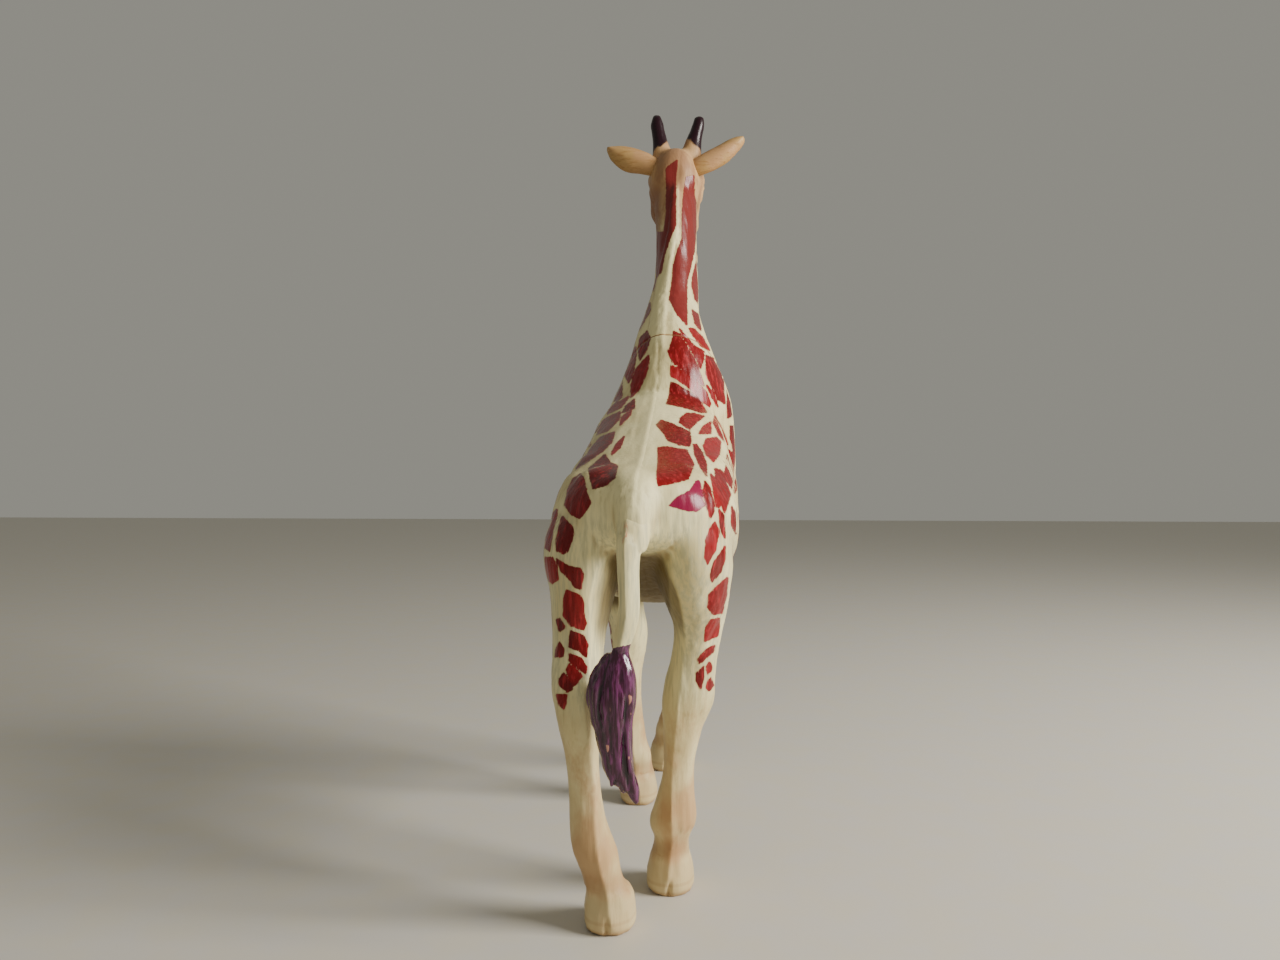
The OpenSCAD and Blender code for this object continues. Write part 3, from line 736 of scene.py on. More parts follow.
def painted(mesh):
    points, normal = coords(mesh), normals(mesh)
    pairs = readMesh(mesh.edges, "vertices", 2, np.int32)
    smoothNormal = averaged(normal, pairs, 10, (0.8, 0.8))
    smoothNormal /= np.linalg.norm(smoothNormal, axis=1)[:, None]
    field, tone, plum = patchFields(points, smoothNormal)
    eyeball, dark = faceShares(points)
    layers = {"patch": field, "tone": tone, "plum": plum, "hollow": hollows(mesh), "horn": hornShare(points),
              "under": bellyShadeShare(points, smoothNormal), "mane": maneAndSpineSheen(points, smoothNormal),
              "eyeball": eyeball, "dark": dark}
    for name, values in layers.items():
        paintField(mesh, name, values)


def buildFigure():
    points, faces = joined(figureParts())
    obj = remeshed(meshObject("figure", points, faces), figure["voxel"])
    z = coords(obj.data)[:, 2]
    hold = np.where(z > 280, 0.25, 1.0) * (0.12 + 0.88 * smooth(5, 16, z)) * smooth(0.3, 1.0, z)
    relax(obj.data, figure["rounds"], hold)
    obj = subdivided(obj)
    mesh = obj.data
    relax(mesh, 4, smooth(0.3, 2, coords(mesh)[:, 2]))
    setCoords(mesh, sculpted(coords(mesh), normals(mesh)))
    painted(mesh)
    return obj


def cutShell(source, name, planes, belongs):
    # a closed half: cut along the planes, keep the faces that belong, and close the openings
    bm = bmesh.new()
    bm.from_mesh(source)
    for at, normal in planes:
        everything = bm.verts[:] + bm.edges[:] + bm.faces[:]
        bmesh.ops.bisect_plane(bm, geom=everything, dist=1e-6, plane_co=Vector(np.array(at) * mm),
                               plane_no=Vector(normal))
    middles = np.array([f.calc_center_median() for f in bm.faces]) / mm
    keep = belongs(middles)
    bmesh.ops.delete(bm, geom=[f for f, own in zip(bm.faces, keep) if not own], context="FACES")
    rim = [e for e in bm.edges if e.is_boundary]
    bmesh.ops.holes_fill(bm, edges=rim, sides=0)
    for e in rim:
        e.smooth = False
    bmesh.ops.triangulate(bm, faces=[f for f in bm.faces if len(f.verts) > 4])
    mesh = bpy.data.meshes.new(name)
    bm.to_mesh(mesh)
    bm.free()
    shadeSmooth(mesh)
    return newObject(name, mesh)


def splitFigure(whole):
    seamPlane = (neck["seam"], seamNormal())
    trunkPlane = ((0, 0, 0), (1, 0, 0))
    neckPlane = (neck["seam"], leanNormal())

    def isNeck(p):
        return (p - neck["seam"]) @ seamNormal() > 0

    def bodySide(side):
        # the right foreleg steps across the middle, and belongs to the right shell
        def belongs(p):
            onRight = (p[:, 0] > 0) | ((p[:, 2] < 62) & (p[:, 1] > 56))
            return ~isNeck(p) & (onRight == (side == right))
        return belongs

    def neckSide(side):
        return lambda p: isNeck(p) & (((p - neck["seam"]) @ leanNormal() > 0) == (side == right))

    shells = {
        "body_left_shell": cutShell(whole, "bodyLeftShell", [seamPlane, trunkPlane], bodySide(left)),
        "body_right_shell": cutShell(whole, "bodyRightShell", [seamPlane, trunkPlane], bodySide(right)),
        "neck_left_shell": cutShell(whole, "neckLeftShell", [seamPlane, neckPlane], neckSide(left)),
        "neck_right_shell": cutShell(whole, "neckRightShell", [seamPlane, neckPlane], neckSide(right)),
    }
    return shells


ears = {
    # x, y, z, half width, half thickness
    "left": [(0.5, 40, 274.5, 3.2, 3.2), (-4, 39.2, 276, 3.8, 3.4), (-9.5, 38.6, 278.2, 4.9, 2.8),
             (-15.5, 38.6, 280.1, 5.5, 2.3), (-20.5, 39.3, 282.7, 4.3, 1.9), (-24.0, 40.2, 285.0, 2.1, 1.4),
             (-25.3, 40.7, 286.0, 0.7, 0.8)],
    "right": [(9.5, 40, 274.5, 3.2, 3.2), (14.6, 39.2, 276.0, 3.9, 3.4), (19.5, 38.6, 278.2, 4.4, 2.8),
              (24.5, 38.6, 281.1, 4.3, 2.3), (29, 39.3, 284.6, 3.5, 1.9), (32.6, 40.2, 287.5, 2.3, 1.5),
              (34.0, 40.7, 288.9, 0.8, 0.8)],
    "cup": 2.4,            # depth of the hollow in front
    "voxel": 0.42,
}
tail = {
    # x, y, z, half width, half thickness
    "stem": [(-1.0, -91.8, 132, 3.9, 3.0), (-1.2, -93.8, 127.5, 4.8, 3.8), (-1.3, -94.8, 122, 5.0, 3.9),
             (-2.3, -96, 121, 3.9, 3.5), (-2.5, -96.3, 113, 3.3, 3.1), (-2.1, -96.5, 103.6, 3.2, 2.9),
             (-2.8, -96.5, 97.6, 3.2, 2.9), (-4.2, -96.5, 92.5, 2.8, 2.7), (-4.9, -96.5, 88, 2.2, 2.2)],
    "ridge": 0.7,
    "voxel": 0.46,
    "paintEdge": 91.6,
}
tuft = {
    # locks of hair: x, y, z and radius down each one
    "locks": [
        [(-4.4, -96.6, 91.4, 1.3), (-4.0, -96.8, 86, 2.7), (-3.2, -97, 80, 3.2), (-3.0, -97, 75, 3.0),
         (-3.5, -96.8, 68, 2.5), (-3.3, -96.6, 60, 2.2), (-2.6, -96.4, 53, 2.1), (-1.0, -96.2, 48.6, 1.9),
         (-0.2, -96, 44.4, 0.5)],
        [(-5.8, -96.8, 90, 1.4), (-7.0, -97.8, 82, 2.5), (-7.6, -98.2, 75, 2.8), (-7.2, -98, 68, 2.5),
         (-6.2, -97.6, 60, 2.3), (-4.6, -97.0, 52, 1.9), (-3.6, -96.6, 47.6, 0.6)],
        [(-7.3, -96.4, 88.8, 1.2), (-10, -96.8, 82, 2.4), (-11.2, -97, 76, 2.7), (-10.6, -97, 69, 2.5),
         (-8.8, -96.8, 60, 2.1), (-7.4, -96.6, 54, 1.9), (-5.8, -96.4, 49.6, 0.6)],
        [(-8.6, -95.6, 88.4, 0.9), (-11.6, -95.6, 82.4, 1.8), (-13.0, -95.6, 76.5, 2.1),
         (-12.4, -95.8, 71.5, 2.0), (-10.6, -96, 65, 1.8), (-9.6, -96, 60, 1.5), (-8.4, -96.2, 55, 0.6)],
        [(-5.6, -98.2, 89, 0.8), (-5.8, -99.8, 80, 1.3), (-5.6, -100, 72, 1.2), (-6.4, -99.4, 63, 0.6)],
        [(-9.2, -97.6, 85, 0.7), (-11.8, -98.6, 78, 1.2), (-11.4, -98.8, 70, 1.1),
         (-9.2, -98.4, 62.4, 0.5)],
        [(-2.4, -98.4, 84.6, 0.7), (-1.7, -99, 77, 1.2), (-2.6, -98.8, 69, 1.0), (-2.4, -98.4, 60, 0.9),
         (-1.6, -98, 53.6, 0.9), (0.1, -97, 49.4, 0.5)],
        [(-8.6, -99.2, 80, 0.6), (-9.4, -99.8, 74, 1.0), (-8.4, -99.6, 66, 0.9), (-7.4, -99, 57, 0.8),
         (-7.2, -98.4, 50, 0.5)],
        [(-3.9, -99.4, 82, 0.6), (-4.1, -100.1, 75, 1.0), (-5.0, -99.4, 66, 0.9), (-4.8, -98.8, 56, 0.8),
         (-3.2, -98.2, 48.6, 0.5)],
        [(-6, -93.6, 88, 1.4), (-8, -93.2, 79, 2.4), (-8.2, -93.2, 71, 2.2), (-7, -94, 60, 1.8),
         (-5.4, -94.6, 50, 0.8)],
        [(-3.4, -93.8, 86, 1.4), (-2.8, -93.4, 77, 2.0), (-3.8, -93.8, 67, 1.8), (-3.8, -94.2, 56, 1.5),
         (-2.2, -94.8, 47.6, 0.6)],
        [(-9.4, -94, 86, 1.2), (-12, -93.8, 78, 1.8), (-10.6, -94.2, 69, 1.7), (-8.4, -94.8, 59, 1.3),
         (-7.0, -95.2, 52, 0.5)],
    ],
    "fullness": 1.0,
    "sides": 14,
    "twist": 0.16,         # waviness of the strands in each lock
}


def geometryTree(name, inputs):
    tree = bpy.data.node_groups.new(name, "GeometryNodeTree")
    tree.interface.new_socket("Geometry", in_out="INPUT", socket_type="NodeSocketGeometry")
    for label, kind, value in inputs:
        socket = tree.interface.new_socket(label, in_out="INPUT", socket_type=kind)
        if value is not None:
            socket.default_value = value
    tree.interface.new_socket("Geometry", in_out="OUTPUT", socket_type="NodeSocketGeometry")
    return tree


def treeNode(tree, kind, settings=None, values=None):
    node = tree.nodes.new(kind)
    for key, value in (settings or {}).items():
        setattr(node, key, value)
    for key, value in (values or {}).items():
        if isinstance(value, bpy.types.NodeSocket):
            tree.links.new(value, node.inputs[key])
        else:
            node.inputs[key].default_value = value
    return node


def lockTree(paint):
    # sweeps a round section along each guide, as wide as the guide says
    tree = geometryTree("hairLocks", [("Fullness", "NodeSocketFloat", tuft["fullness"]),
                                      ("Sides", "NodeSocketInt", tuft["sides"]),
                                      ("Waviness", "NodeSocketFloat", tuft["twist"])])
    source = treeNode(tree, "NodeGroupInput")
    smoothLine = treeNode(tree, "GeometryNodeCurveSplineType", {"spline_type": "CATMULL_ROM"},
                          {"Curve": source.outputs["Geometry"]})
    fine = treeNode(tree, "GeometryNodeSetSplineResolution", {},
                    {"Geometry": smoothLine.outputs[0], "Resolution": 8})
    radius = treeNode(tree, "GeometryNodeInputRadius")
    wide = treeNode(tree, "ShaderNodeMath", {"operation": "MULTIPLY"},
                    {0: radius.outputs[0], 1: source.outputs["Fullness"]})
    ring = treeNode(tree, "GeometryNodeCurvePrimitiveCircle", {},
                    {"Resolution": source.outputs["Sides"], "Radius": 1})
    solid = treeNode(tree, "GeometryNodeCurveToMesh", {},
                     {"Curve": fine.outputs[0], "Profile Curve": ring.outputs[0], "Fill Caps": True})
    if "Scale" in solid.inputs:
        tree.links.new(wide.outputs[0], solid.inputs["Scale"])
    place = treeNode(tree, "GeometryNodeInputPosition")
    stretch = treeNode(tree, "ShaderNodeVectorMath", {"operation": "MULTIPLY"},
                       {0: place.outputs[0], 1: (900, 900, 160)})
    wave = treeNode(tree, "ShaderNodeTexNoise", {},
                    {"Vector": stretch.outputs[0], "Scale": 1.0, "Detail": 1.0})
    centred = treeNode(tree, "ShaderNodeMath", {"operation": "SUBTRACT"}, {0: wave.outputs[0], 1: 0.5})
    amount = treeNode(tree, "ShaderNodeMath", {"operation": "MULTIPLY"},
                      {0: centred.outputs[0], 1: source.outputs["Waviness"]})
    metres = treeNode(tree, "ShaderNodeMath", {"operation": "MULTIPLY"}, {0: amount.outputs[0], 1: 4 * mm})
    normal = treeNode(tree, "GeometryNodeInputNormal")
    push = treeNode(tree, "ShaderNodeVectorMath", {"operation": "SCALE"},
                    {0: normal.outputs[0], "Scale": metres.outputs[0]})
    moved = treeNode(tree, "GeometryNodeSetPosition", {},
                     {"Geometry": solid.outputs[0], "Offset": push.outputs[0]})
    real = treeNode(tree, "GeometryNodeRealizeInstances", {}, {"Geometry": moved.outputs[0]})
    coat = treeNode(tree, "GeometryNodeSetMaterial", {}, {"Geometry": real.outputs[0], "Material": paint})
    end = treeNode(tree, "NodeGroupOutput")
    tree.links.new(coat.outputs[0], end.inputs[0])
    return tree


def lockMesh(paint):
    guides = bpy.data.curves.new("lockGuides", "CURVE")
    guides.dimensions = "3D"
    for rows in tuft["locks"]:
        spline = guides.splines.new("POLY")
        spline.points.add(len(rows) - 1)
        for point, (x, y, z, radius) in zip(spline.points, rows):
            point.co = (x * mm, y * mm, z * mm, 1)
            point.radius = radius * mm
    obj = newObject("lockGuides", guides)
    grow = obj.modifiers.new("locks", "NODES")
    grow.node_group = lockTree(paint)
    names = {item.name: item.identifier for item in grow.node_group.interface.items_tree
             if item.in_out == "INPUT"}
    grow[names["Fullness"]] = tuft["fullness"]
    grow[names["Sides"]] = tuft["sides"]
    grow[names["Waviness"]] = tuft["twist"]
    graph = bpy.context.evaluated_depsgraph_get()
    mesh = bpy.data.meshes.new_from_object(obj.evaluated_get(graph))
    bpy.data.objects.remove(obj)
    return mesh


def buildTail(paint):
    stem, faces = sweep(tail["stem"], 6, 36, 1.75)
    locks = lockMesh(paint)
    lockFaces = [tuple(p.vertices) for p in locks.polygons]
    points, faces = joined([(stem, faces), (coords(locks), lockFaces)])
    obj = remeshed(meshObject("tailAndTuft", points, faces), tail["voxel"])
    mesh = obj.data
    z = coords(mesh)[:, 2]
    relax(mesh, 8, np.where(z > tail["paintEdge"], 1.0, 0.45))
    points, normal = coords(mesh), normals(mesh)
    x, y, z = points.T
    stemShare = smooth(88, 94, z)
    middle = np.interp(z, [92, 100, 113, 121, 134], [-4.4, -2.8, -3.2, -3.2, -2.4])
    ridge = np.exp(-np.abs(x - middle) / 1.1) * smooth(0.1, 0.6, -normal[:, 1]) * stemShare
    hair = noise(np.column_stack([x / 0.9, y / 0.9, z / 7]), seed + 9)
    strand = noise(np.column_stack([x / 0.8 + z * 0.08, y / 0.8, z / 9]), seed + 10)
    move = tail["ridge"] * ridge + 0.10 * hair * stemShare + 0.30 * strand * (1 - stemShare)
    setCoords(mesh, points + normal * move[:, None])
    points = coords(mesh)
    edge = tail["paintEdge"] + 0.5 * noise(points / 1.2, seed + 12)
    edge = edge - 0.45 * np.clip(-4.5 - points[:, 0], 0, 9)
    paintField(mesh, "hollow", hollows(mesh))
    paintField(mesh, "hair", edge - points[:, 2])
    paintField(mesh, "ridge", ridge)
    shadeSmooth(mesh)
    return obj


def buildEar(side):
    rows = ears["left" if side == left else "right"]
    points, faces = sweep(rows, 6, 40, 2.0)
    obj = remeshed(meshObject("leftEar" if side == left else "rightEar", points, faces), ears["voxel"])
    mesh = obj.data
    relax(mesh, 6, np.ones(len(mesh.vertices)))
    points, normal = coords(mesh), normals(mesh)
    path = catmull([row[:4] for row in rows], 6)
    reach = np.linalg.norm(points[:, None, [0, 2]] - path[None, :, [0, 2]], axis=2)
    nearest = np.argmin(reach, axis=1)
    share = np.clip(reach[np.arange(len(points)), nearest] / path[nearest, 3], 0, 1)
    alongEar = nearest / (len(path) - 1)
    inner = smooth(0.0, 0.5, normal[:, 1]) * (1 - smooth(0.5, 0.9, share)) * smooth(0.22, 0.45, alongEar)
    inner = inner * (1 - smooth(0.86, 0.97, alongEar))
    points[:, 1] -= ears["cup"] * inner
    points[:, 1] += 1.3 * share ** 2 * smooth(0.15, 0.5, alongEar)      # the rims curl forward
    hair = noise(np.column_stack([points[:, 0] / 4, points[:, 1] / 1.2, points[:, 2] / 1.2]), seed + 13)
    setCoords(mesh, points + normal * (0.08 * hair)[:, None])
    paintField(mesh, "inner", inner)
    paintField(mesh, "along", alongEar)
    paintField(mesh, "rim", share)
    shadeSmooth(mesh)
    return obj


class Wire:
    # a shader socket that can be added, multiplied and so on in a plain expression
    def __init__(self, paint, socket):
        self.paint, self.socket = paint, socket

    def sum(self, operation, first, second):
        return self.paint.add("ShaderNodeMath", {"operation": operation}, {0: first, 1: second})

    def __add__(self, other):
        return self.sum("ADD", self, other)

    def __radd__(self, other):
        return self.sum("ADD", other, self)

    def __sub__(self, other):
        return self.sum("SUBTRACT", self, other)

    def __rsub__(self, other):
        return self.sum("SUBTRACT", other, self)

    def __mul__(self, other):
        return self.sum("MULTIPLY", self, other)

    def __rmul__(self, other):
        return self.sum("MULTIPLY", other, self)


class Paint:
    # one material, built node by node
    def __init__(self, name):
        self.material = bpy.data.materials.new(name)
        self.material.use_nodes = True
        self.tree = self.material.node_tree
        self.shader = self.tree.nodes["Principled BSDF"]
        self.place = self.add("ShaderNodeTexCoord", out="Object")

    def add(self, kind, settings=None, values=None, out=0):
        node = self.tree.nodes.new(kind)
        for key, value in (settings or {}).items():
            setattr(node, key, value)
        for key, value in (values or {}).items():
            if isinstance(value, Wire):
                self.tree.links.new(value.socket, node.inputs[key])
            else:
                node.inputs[key].default_value = value
        return Wire(self, node.outputs[out])

    def field(self, name):
        return self.add("ShaderNodeAttribute", {"attribute_name": name}, out="Fac")

    def stretched(self, scale):
        return self.add("ShaderNodeVectorMath", {"operation": "MULTIPLY"}, {0: self.place, 1: scale})

    def mottle(self, scale, detail=2.0, rough=0.5):
        # scale: lumps to the metre along X, Y and Z; values spread round 0.5
        return self.add("ShaderNodeTexNoise", {}, {"Vector": self.stretched(scale), "Scale": 1.0,
                                                   "Detail": detail, "Roughness": rough})

    def axis(self, name):
        return self.add("ShaderNodeSeparateXYZ", {}, {0: self.place}, out=name)

    def ease(self, value, low, high, start=0.0, end=1.0):
        return self.add("ShaderNodeMapRange", {"interpolation_type": "SMOOTHSTEP"},
                        {"Value": value, "From Min": low, "From Max": high, "To Min": start, "To Max": end})

    def blend(self, share, first, second):
        # 2, 6 and 7 are the colour sockets of a Mix node
        return self.add("ShaderNodeMix", {"data_type": "RGBA"}, {0: share, 6: first, 7: second}, out=2)

    def finish(self, colour, roughness, height, depth, coat=None):
        links, ends = self.tree.links, self.shader.inputs
        links.new(colour.socket, ends["Base Color"])
        links.new(roughness.socket, ends["Roughness"])
        if coat is not None:
            links.new(coat.socket, ends["Coat Weight"])
        ends["Coat Roughness"].default_value = varnish["coatRoughness"]
        ends["Specular IOR Level"].default_value = varnish["specular"]
        bump = self.add("ShaderNodeBump", {}, {"Strength": 1.0, "Distance": depth * mm, "Height": height})
        links.new(bump.socket, ends["Normal"])
        return self.material


def tint(*levels):
    # red, green and blue as seen on a screen, 0 to 255, as the shader wants them
    shares = [level / 255 for level in levels]
    return tuple(((c + 0.055) / 1.055) ** 2.4 if c > 0.04 else c / 12.92 for c in shares) + (1,)


colours = {
    "cream": tint(218, 204, 152), "creamPale": tint(238, 228, 176), "creamDeep": tint(184, 168, 118),
    "brownTone": tint(150, 118, 72), "tan": tint(190, 148, 104), "tanDeep": tint(152, 108, 70),
    "red": tint(142, 18, 22), "redDark": tint(98, 8, 8), "redBright": tint(176, 44, 50),
    "neckRed": tint(118, 42, 38), "cheek": tint(134, 88, 66), "plum": tint(136, 22, 62),
    "under": tint(92, 72, 34), "pinkSheenAndWear": tint(214, 150, 128), "horn": tint(34, 10, 20),
    "black": tint(14, 10, 9), "earTan": tint(186, 150, 96), "earInner": tint(226, 190, 146),
    "earDark": tint(150, 106, 54), "hair": tint(62, 12, 42), "hairPaintedHighlight": tint(112, 48, 98),
    "hairPaintedShade": tint(20, 4, 14), "rub": tint(196, 96, 66), "hoof": tint(206, 186, 140),
    "grey": tint(184, 184, 154),
}
levels = {
    # heights in metres where a colour starts and where it is full
    "neckRed": (0.190, 0.212), "browStripe": (0.268, 0.262), "cheekFoot": (0.228, 0.240),
    "cheekTop": (0.274, 0.262), "hoofTop": (0.0125, 0.0095), "coronetFoot": (0.011, 0.015),
    "coronetTop": (0.022, 0.016), "sole": (0.0024, 0.0006), "ledgeFoot": (0.0034, 0.0040),
    "ledgeTop": (0.0052, 0.0044), "crown": (0.238, 0.258), "shin": (0.084, 0.030),
    "rubFoot": (0.108, 0.116), "rubTop": (0.138, 0.130), "thighTop": (0.142, 0.120),
    "thighFoot": (0.062, 0.080),
}
varnish = {
    "coatRoughness": 0.22,
    "specular": 0.24,
}


def creamCoat(paint, hollow):
    # brushed cream, paler on the raised hair and a darker brown in the hollows
    strands = paint.mottle((760, 760, 90), 3.0, 0.6)
    broad = paint.mottle((70, 70, 40), 2.0)
    cream = paint.blend(paint.ease(broad, 0.35, 0.65), colours["cream"], colours["creamPale"])
    cream = paint.blend(paint.ease(strands, 0.52, 0.72) * 0.45, cream, colours["creamDeep"])
    thigh = paint.ease(paint.axis("Z"), *levels["thighTop"])
    thigh = thigh * paint.ease(paint.axis("Z"), *levels["thighFoot"])
    cream = paint.blend(thigh * paint.ease(strands, 0.40, 0.60) * 0.5, cream, colours["grey"])
    return paint.blend(paint.ease(hollow, 0.00, 0.16) * 0.55, cream, colours["brownTone"]), strands


def figurePaint(name, onNeck):
    paint = Paint(name)
    height = paint.axis("Z")
    hollow = paint.field("hollow")
    cream, strands = creamCoat(paint, hollow)
    fine = paint.mottle((1500, 1500, 160), 2.0, 0.6)
    speck = paint.mottle((900, 900, 500), 2.0)
    ragged = (speck - 0.5) * 0.75 + (fine - 0.5) * 0.35
    # paler cream on the mane stripe, and a painted highlight along the top of the back
    cream = paint.blend(paint.field("mane") * 0.7, cream, colours["creamPale"])
    # painted shade under the belly and between the thighs
    cream = paint.blend(paint.field("under") * 0.9, cream, colours["under"])
    edge = paint.field("patch") + ragged
    covered = paint.ease(edge, 0.10, -0.10)
    brown = paint.ease(edge, -0.10, 0.55, 1.0, 0.0) * (1 - covered)
    tone = paint.field("tone")
    red = paint.blend(tone, colours["red"], colours["redDark"])
    red = paint.blend(paint.ease(strands, 0.50, 0.68) * 0.75, red, colours["redBright"])
    red = paint.blend(paint.ease(fine, 0.56, 0.70) * 0.65, red, colours["redDark"])
    red = paint.blend(paint.ease(hollow, 0.02, 0.14) * 0.5, red, colours["redDark"])
    red = paint.blend(paint.field("plum"), red, colours["plum"])
    # pink streaks inside the patches: a painted highlight for their gloss
    red = paint.blend(paint.ease(fine * paint.ease(edge, -1.2, -0.2), 0.60, 0.66) * 0.6, red, colours["pinkSheenAndWear"])
    red = paint.blend(paint.ease(height, *levels["neckRed"]) * 0.9, red, colours["neckRed"])
    if onNeck:
        crown = paint.ease(height + (speck - 0.5) * 0.03, *levels["crown"])
        crown = crown * (1 - paint.field("mane") * paint.ease(height, *levels["browStripe"]) * 0.7)
        cream = paint.blend(crown * 0.9, cream, colours["tan"])
        blotch = paint.ease(paint.mottle((110, 110, 70), 3.0), 0.44, 0.62)
        cream = paint.blend(crown * blotch * 0.55, cream, colours["cheek"])
        # painted shade: the left side of the upper neck and head darker, in the cheek brown
        shaded = paint.ease(paint.axis("X"), 0.0015, -0.0035) * paint.ease(height, *levels["cheekFoot"])
        shaded = shaded * paint.ease(height, *levels["cheekTop"]) * (1 - paint.field("mane"))
        cream = paint.blend(shaded * 0.8, cream, colours["cheek"])
    else:
        low = paint.ease(height + (speck - 0.5) * 0.03, *levels["shin"])
        blotch = paint.ease(paint.mottle((95, 95, 60), 3.0), 0.38, 0.66)
        cream = paint.blend(low * (0.35 + blotch * 0.5), cream, colours["tan"])
        cream = paint.blend(paint.ease(height, *levels["hoofTop"]) * 0.7, cream, colours["hoof"])
        joint = paint.ease(height, *levels["coronetFoot"]) * paint.ease(height, *levels["coronetTop"])
        cream = paint.blend(joint * 0.45, cream, colours["tanDeep"])
        cream = paint.blend(paint.ease(height, *levels["sole"]) * 0.5, cream, colours["tanDeep"])
        ledge = paint.ease(height, *levels["ledgeFoot"]) * paint.ease(height, *levels["ledgeTop"])
        cream = paint.blend(ledge * 0.2, cream, colours["tanDeep"])
    colour = paint.blend(brown * 0.35, cream, colours["brownTone"])
    colour = paint.blend(covered, colour, red)
    if onNeck:
        colour = paint.blend(paint.field("dark") * 0.85, colour, colours["tanDeep"])
        colour = paint.blend(paint.field("horn"), colour, colours["horn"])
        colour = paint.blend(paint.ease(paint.field("eyeball"), 0.3, 0.6), colour, colours["black"])
        gloss = paint.ease(paint.field("horn") + paint.field("eyeball") + covered * 0.7, 0.1, 0.9)
    else:
        gloss = covered
    away = paint.add("ShaderNodeVectorMath", {"operation": "SUBTRACT"},
                     {0: paint.place, 1: tuple(v * mm for v in neck["seam"])})
    away = paint.add("ShaderNodeVectorMath", {"operation": "DOT_PRODUCT"}, {0: away, 1: tuple(seamNormal())},
                     out="Value")
    away = paint.add("ShaderNodeMath", {"operation": "ABSOLUTE"}, {0: away})
    line = paint.ease(away, 0.00042, 0.00012)
    line = line * paint.ease(paint.mottle((160, 160, 160)), 0.35, 0.55, 0.45, 0.95)
    colour = paint.blend(line, colour, colours["tanDeep"])
    scuff = paint.ease(paint.mottle((240, 240, 70), 3.0, 0.7), 0.62, 0.72)
    rough = paint.ease(gloss, 0.0, 1.0, 0.50, 0.30) + (speck - 0.5) * 0.16
    rough = rough + scuff * 0.12 + (strands - 0.5) * 0.2
    high = fine * 0.35 + strands * 0.65 + covered * 0.25
    return paint.finish(colour, rough, high, 0.16, gloss * 0.2)


def earPaint():
    paint = Paint("earPaint")
    hair = paint.mottle((120, 900, 900), 3.0, 0.6)
    blotch = paint.mottle((130, 130, 130), 2.0)
    colour = paint.blend(paint.ease(blotch, 0.35, 0.65), colours["earTan"], colours["tan"])
    colour = paint.blend(paint.ease(hair, 0.5, 0.7) * 0.5, colour, colours["earDark"])
    colour = paint.blend(paint.ease(paint.field("rim"), 0.72, 1.0) * 0.35, colour, colours["earDark"])
    colour = paint.blend(paint.field("inner") * 0.8, colour, colours["earInner"])
    # painted shadow: darker towards the root of the ear, where it meets the head
    colour = paint.blend(paint.ease(paint.field("along"), 0.30, 0.02) * 0.5, colour, colours["earDark"])
    rough = 0.46 + (hair - 0.5) * 0.2
    return paint.finish(colour, rough, hair, 0.14)


def tailPaint():
    paint = Paint("tailPaint")
    hollow = paint.field("hollow")
    cream, strands = creamCoat(paint, hollow)
    high = paint.axis("Z")
    rubbed = paint.ease(paint.mottle((500, 500, 110), 2.0), 0.56, 0.64)
    rubbed = rubbed * paint.ease(paint.field("ridge"), 0.45, 0.8)
    rubbed = rubbed * paint.ease(high, *levels["rubFoot"]) * paint.ease(high, *levels["rubTop"])
    cream = paint.blend(rubbed * 0.8, cream, colours["rub"])
    fine = paint.mottle((1300, 1300, 130), 2.0, 0.6)
    # lighter lilac streaks on the tuft: a painted highlight
    hair = paint.blend(paint.ease(fine, 0.42, 0.62) * 0.7, colours["hair"], colours["hairPaintedHighlight"])
    # painted shade: the tuft turns nearly black in the hollows between its locks
    hair = paint.blend(paint.ease(hollow, -0.02, 0.22), hair, colours["hairPaintedShade"])
    worn = (paint.ease(paint.mottle((330, 330, 140), 2.0), 0.655, 0.70)) * paint.ease(hollow, 0.0, -0.12)
    hair = paint.blend(worn, hair, colours["pinkSheenAndWear"])
    covered = paint.ease(paint.field("hair") + (fine - 0.5) * 0.6, -0.12, 0.12)
    colour = paint.blend(covered, cream, hair)
    rough = paint.ease(covered, 0.0, 1.0, 0.50, 0.20) + (fine - 0.5) * 0.14
    return paint.finish(colour, rough, fine * 0.5 + strands * 0.5, 0.14, covered * 0.9)


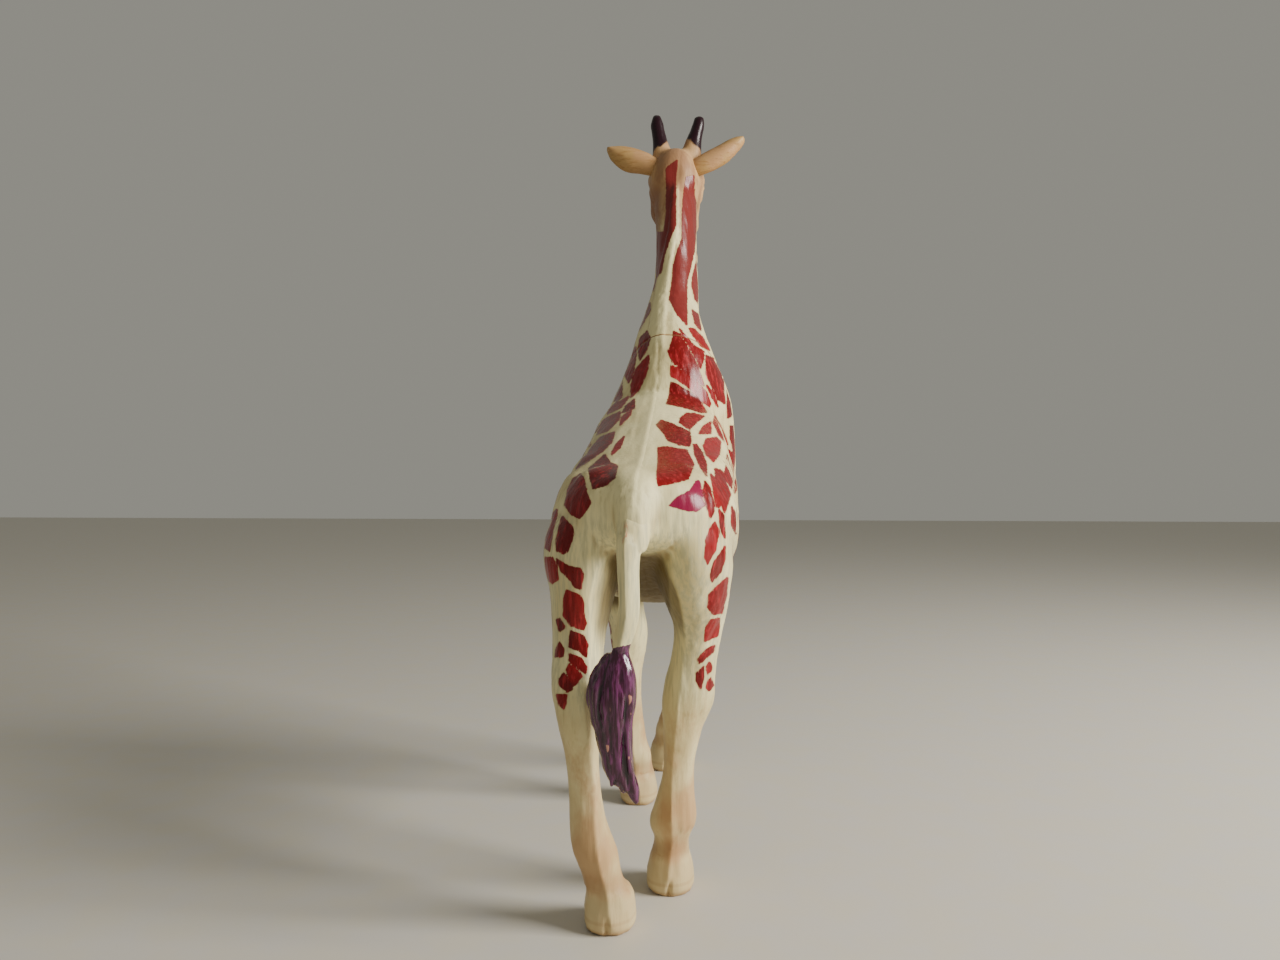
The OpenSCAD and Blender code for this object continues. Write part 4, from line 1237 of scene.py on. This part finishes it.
tailFinish, earFinish = tailPaint(), earPaint()
whole = buildFigure()
print("figure", len(whole.data.vertices), "points")
shells = splitFigure(whole.data)
bpy.data.objects.remove(whole)
bodyFinish, neckFinish = figurePaint("bodyPaint", False), figurePaint("neckPaint", True)
for node, shell in shells.items():
    onNeck = node.startswith("neck")
    shell.data.materials.clear()
    shell.data.materials.append(neckFinish if onNeck else bodyFinish)
    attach(shell, "root")
    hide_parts(node)
    print(shell.name, len(shell.data.polygons), "faces")

tailPiece = buildTail(tailFinish)
tailPiece.data.materials.clear()
tailPiece.data.materials.append(tailFinish)
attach(tailPiece, "root")
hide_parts("tail")
print("tail", len(tailPiece.data.polygons), "faces")

for side, node in ((left, "left_ear"), (right, "right_ear")):
    ear = buildEar(side)
    ear.data.materials.append(earFinish)
    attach(ear, "root")
    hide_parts(node)
    print(ear.name, len(ear.data.polygons), "faces")

studio = {
    "floor": tint(206, 202, 194),
    "floorReach": 3.0,
    "air": tint(214, 212, 200),
    "airStrength": 0.42,
    "keyAt": (0.95, -0.30, 0.55),
    "keySize": 0.45,
    "keyPower": 21,
    "aim": (0, 0, 0.14),
    "lens": 27.03,
    "sensor": 36,
}
reach = studio["floorReach"]
floorMesh = bpy.data.meshes.new("floor")
floorMesh.from_pydata([(-reach, -reach, 0), (reach, -reach, 0), (reach, reach, 0), (-reach, reach, 0)], [],
                      [(0, 1, 2, 3)])
floor = newObject("floor", floorMesh)
ground = Paint("ground")
grain = ground.mottle((60, 60, 60), 3.0)
floorMesh.materials.append(ground.finish(
    ground.blend(ground.ease(grain, 0.3, 0.7) * 0.15, studio["floor"], colours["cream"]),
    0.55 + (grain - 0.5) * 0.1, grain, 0.02))

world = bpy.context.scene.world or bpy.data.worlds.new("world")
bpy.context.scene.world = world
world.use_nodes = True
world.node_tree.nodes["Background"].inputs["Color"].default_value = studio["air"]
world.node_tree.nodes["Background"].inputs["Strength"].default_value = studio["airStrength"]
key = bpy.data.lights.new("window", "AREA")
key.energy, key.size = studio["keyPower"], studio["keySize"]
key.color = (1.0, 0.965, 0.9)
window = newObject("window", key)
window.location = studio["keyAt"]
window.rotation_euler = (Vector(studio["aim"]) - window.location).to_track_quat("-Z", "Y").to_euler()

lens = bpy.data.cameras.new("camera")
lens.lens, lens.sensor_width = studio["lens"], studio["sensor"]
camera = newObject("camera", lens)
camera.location = eye * mm
camera.rotation_euler = (math.radians(90), 0, yaw)
bpy.context.scene.camera = camera
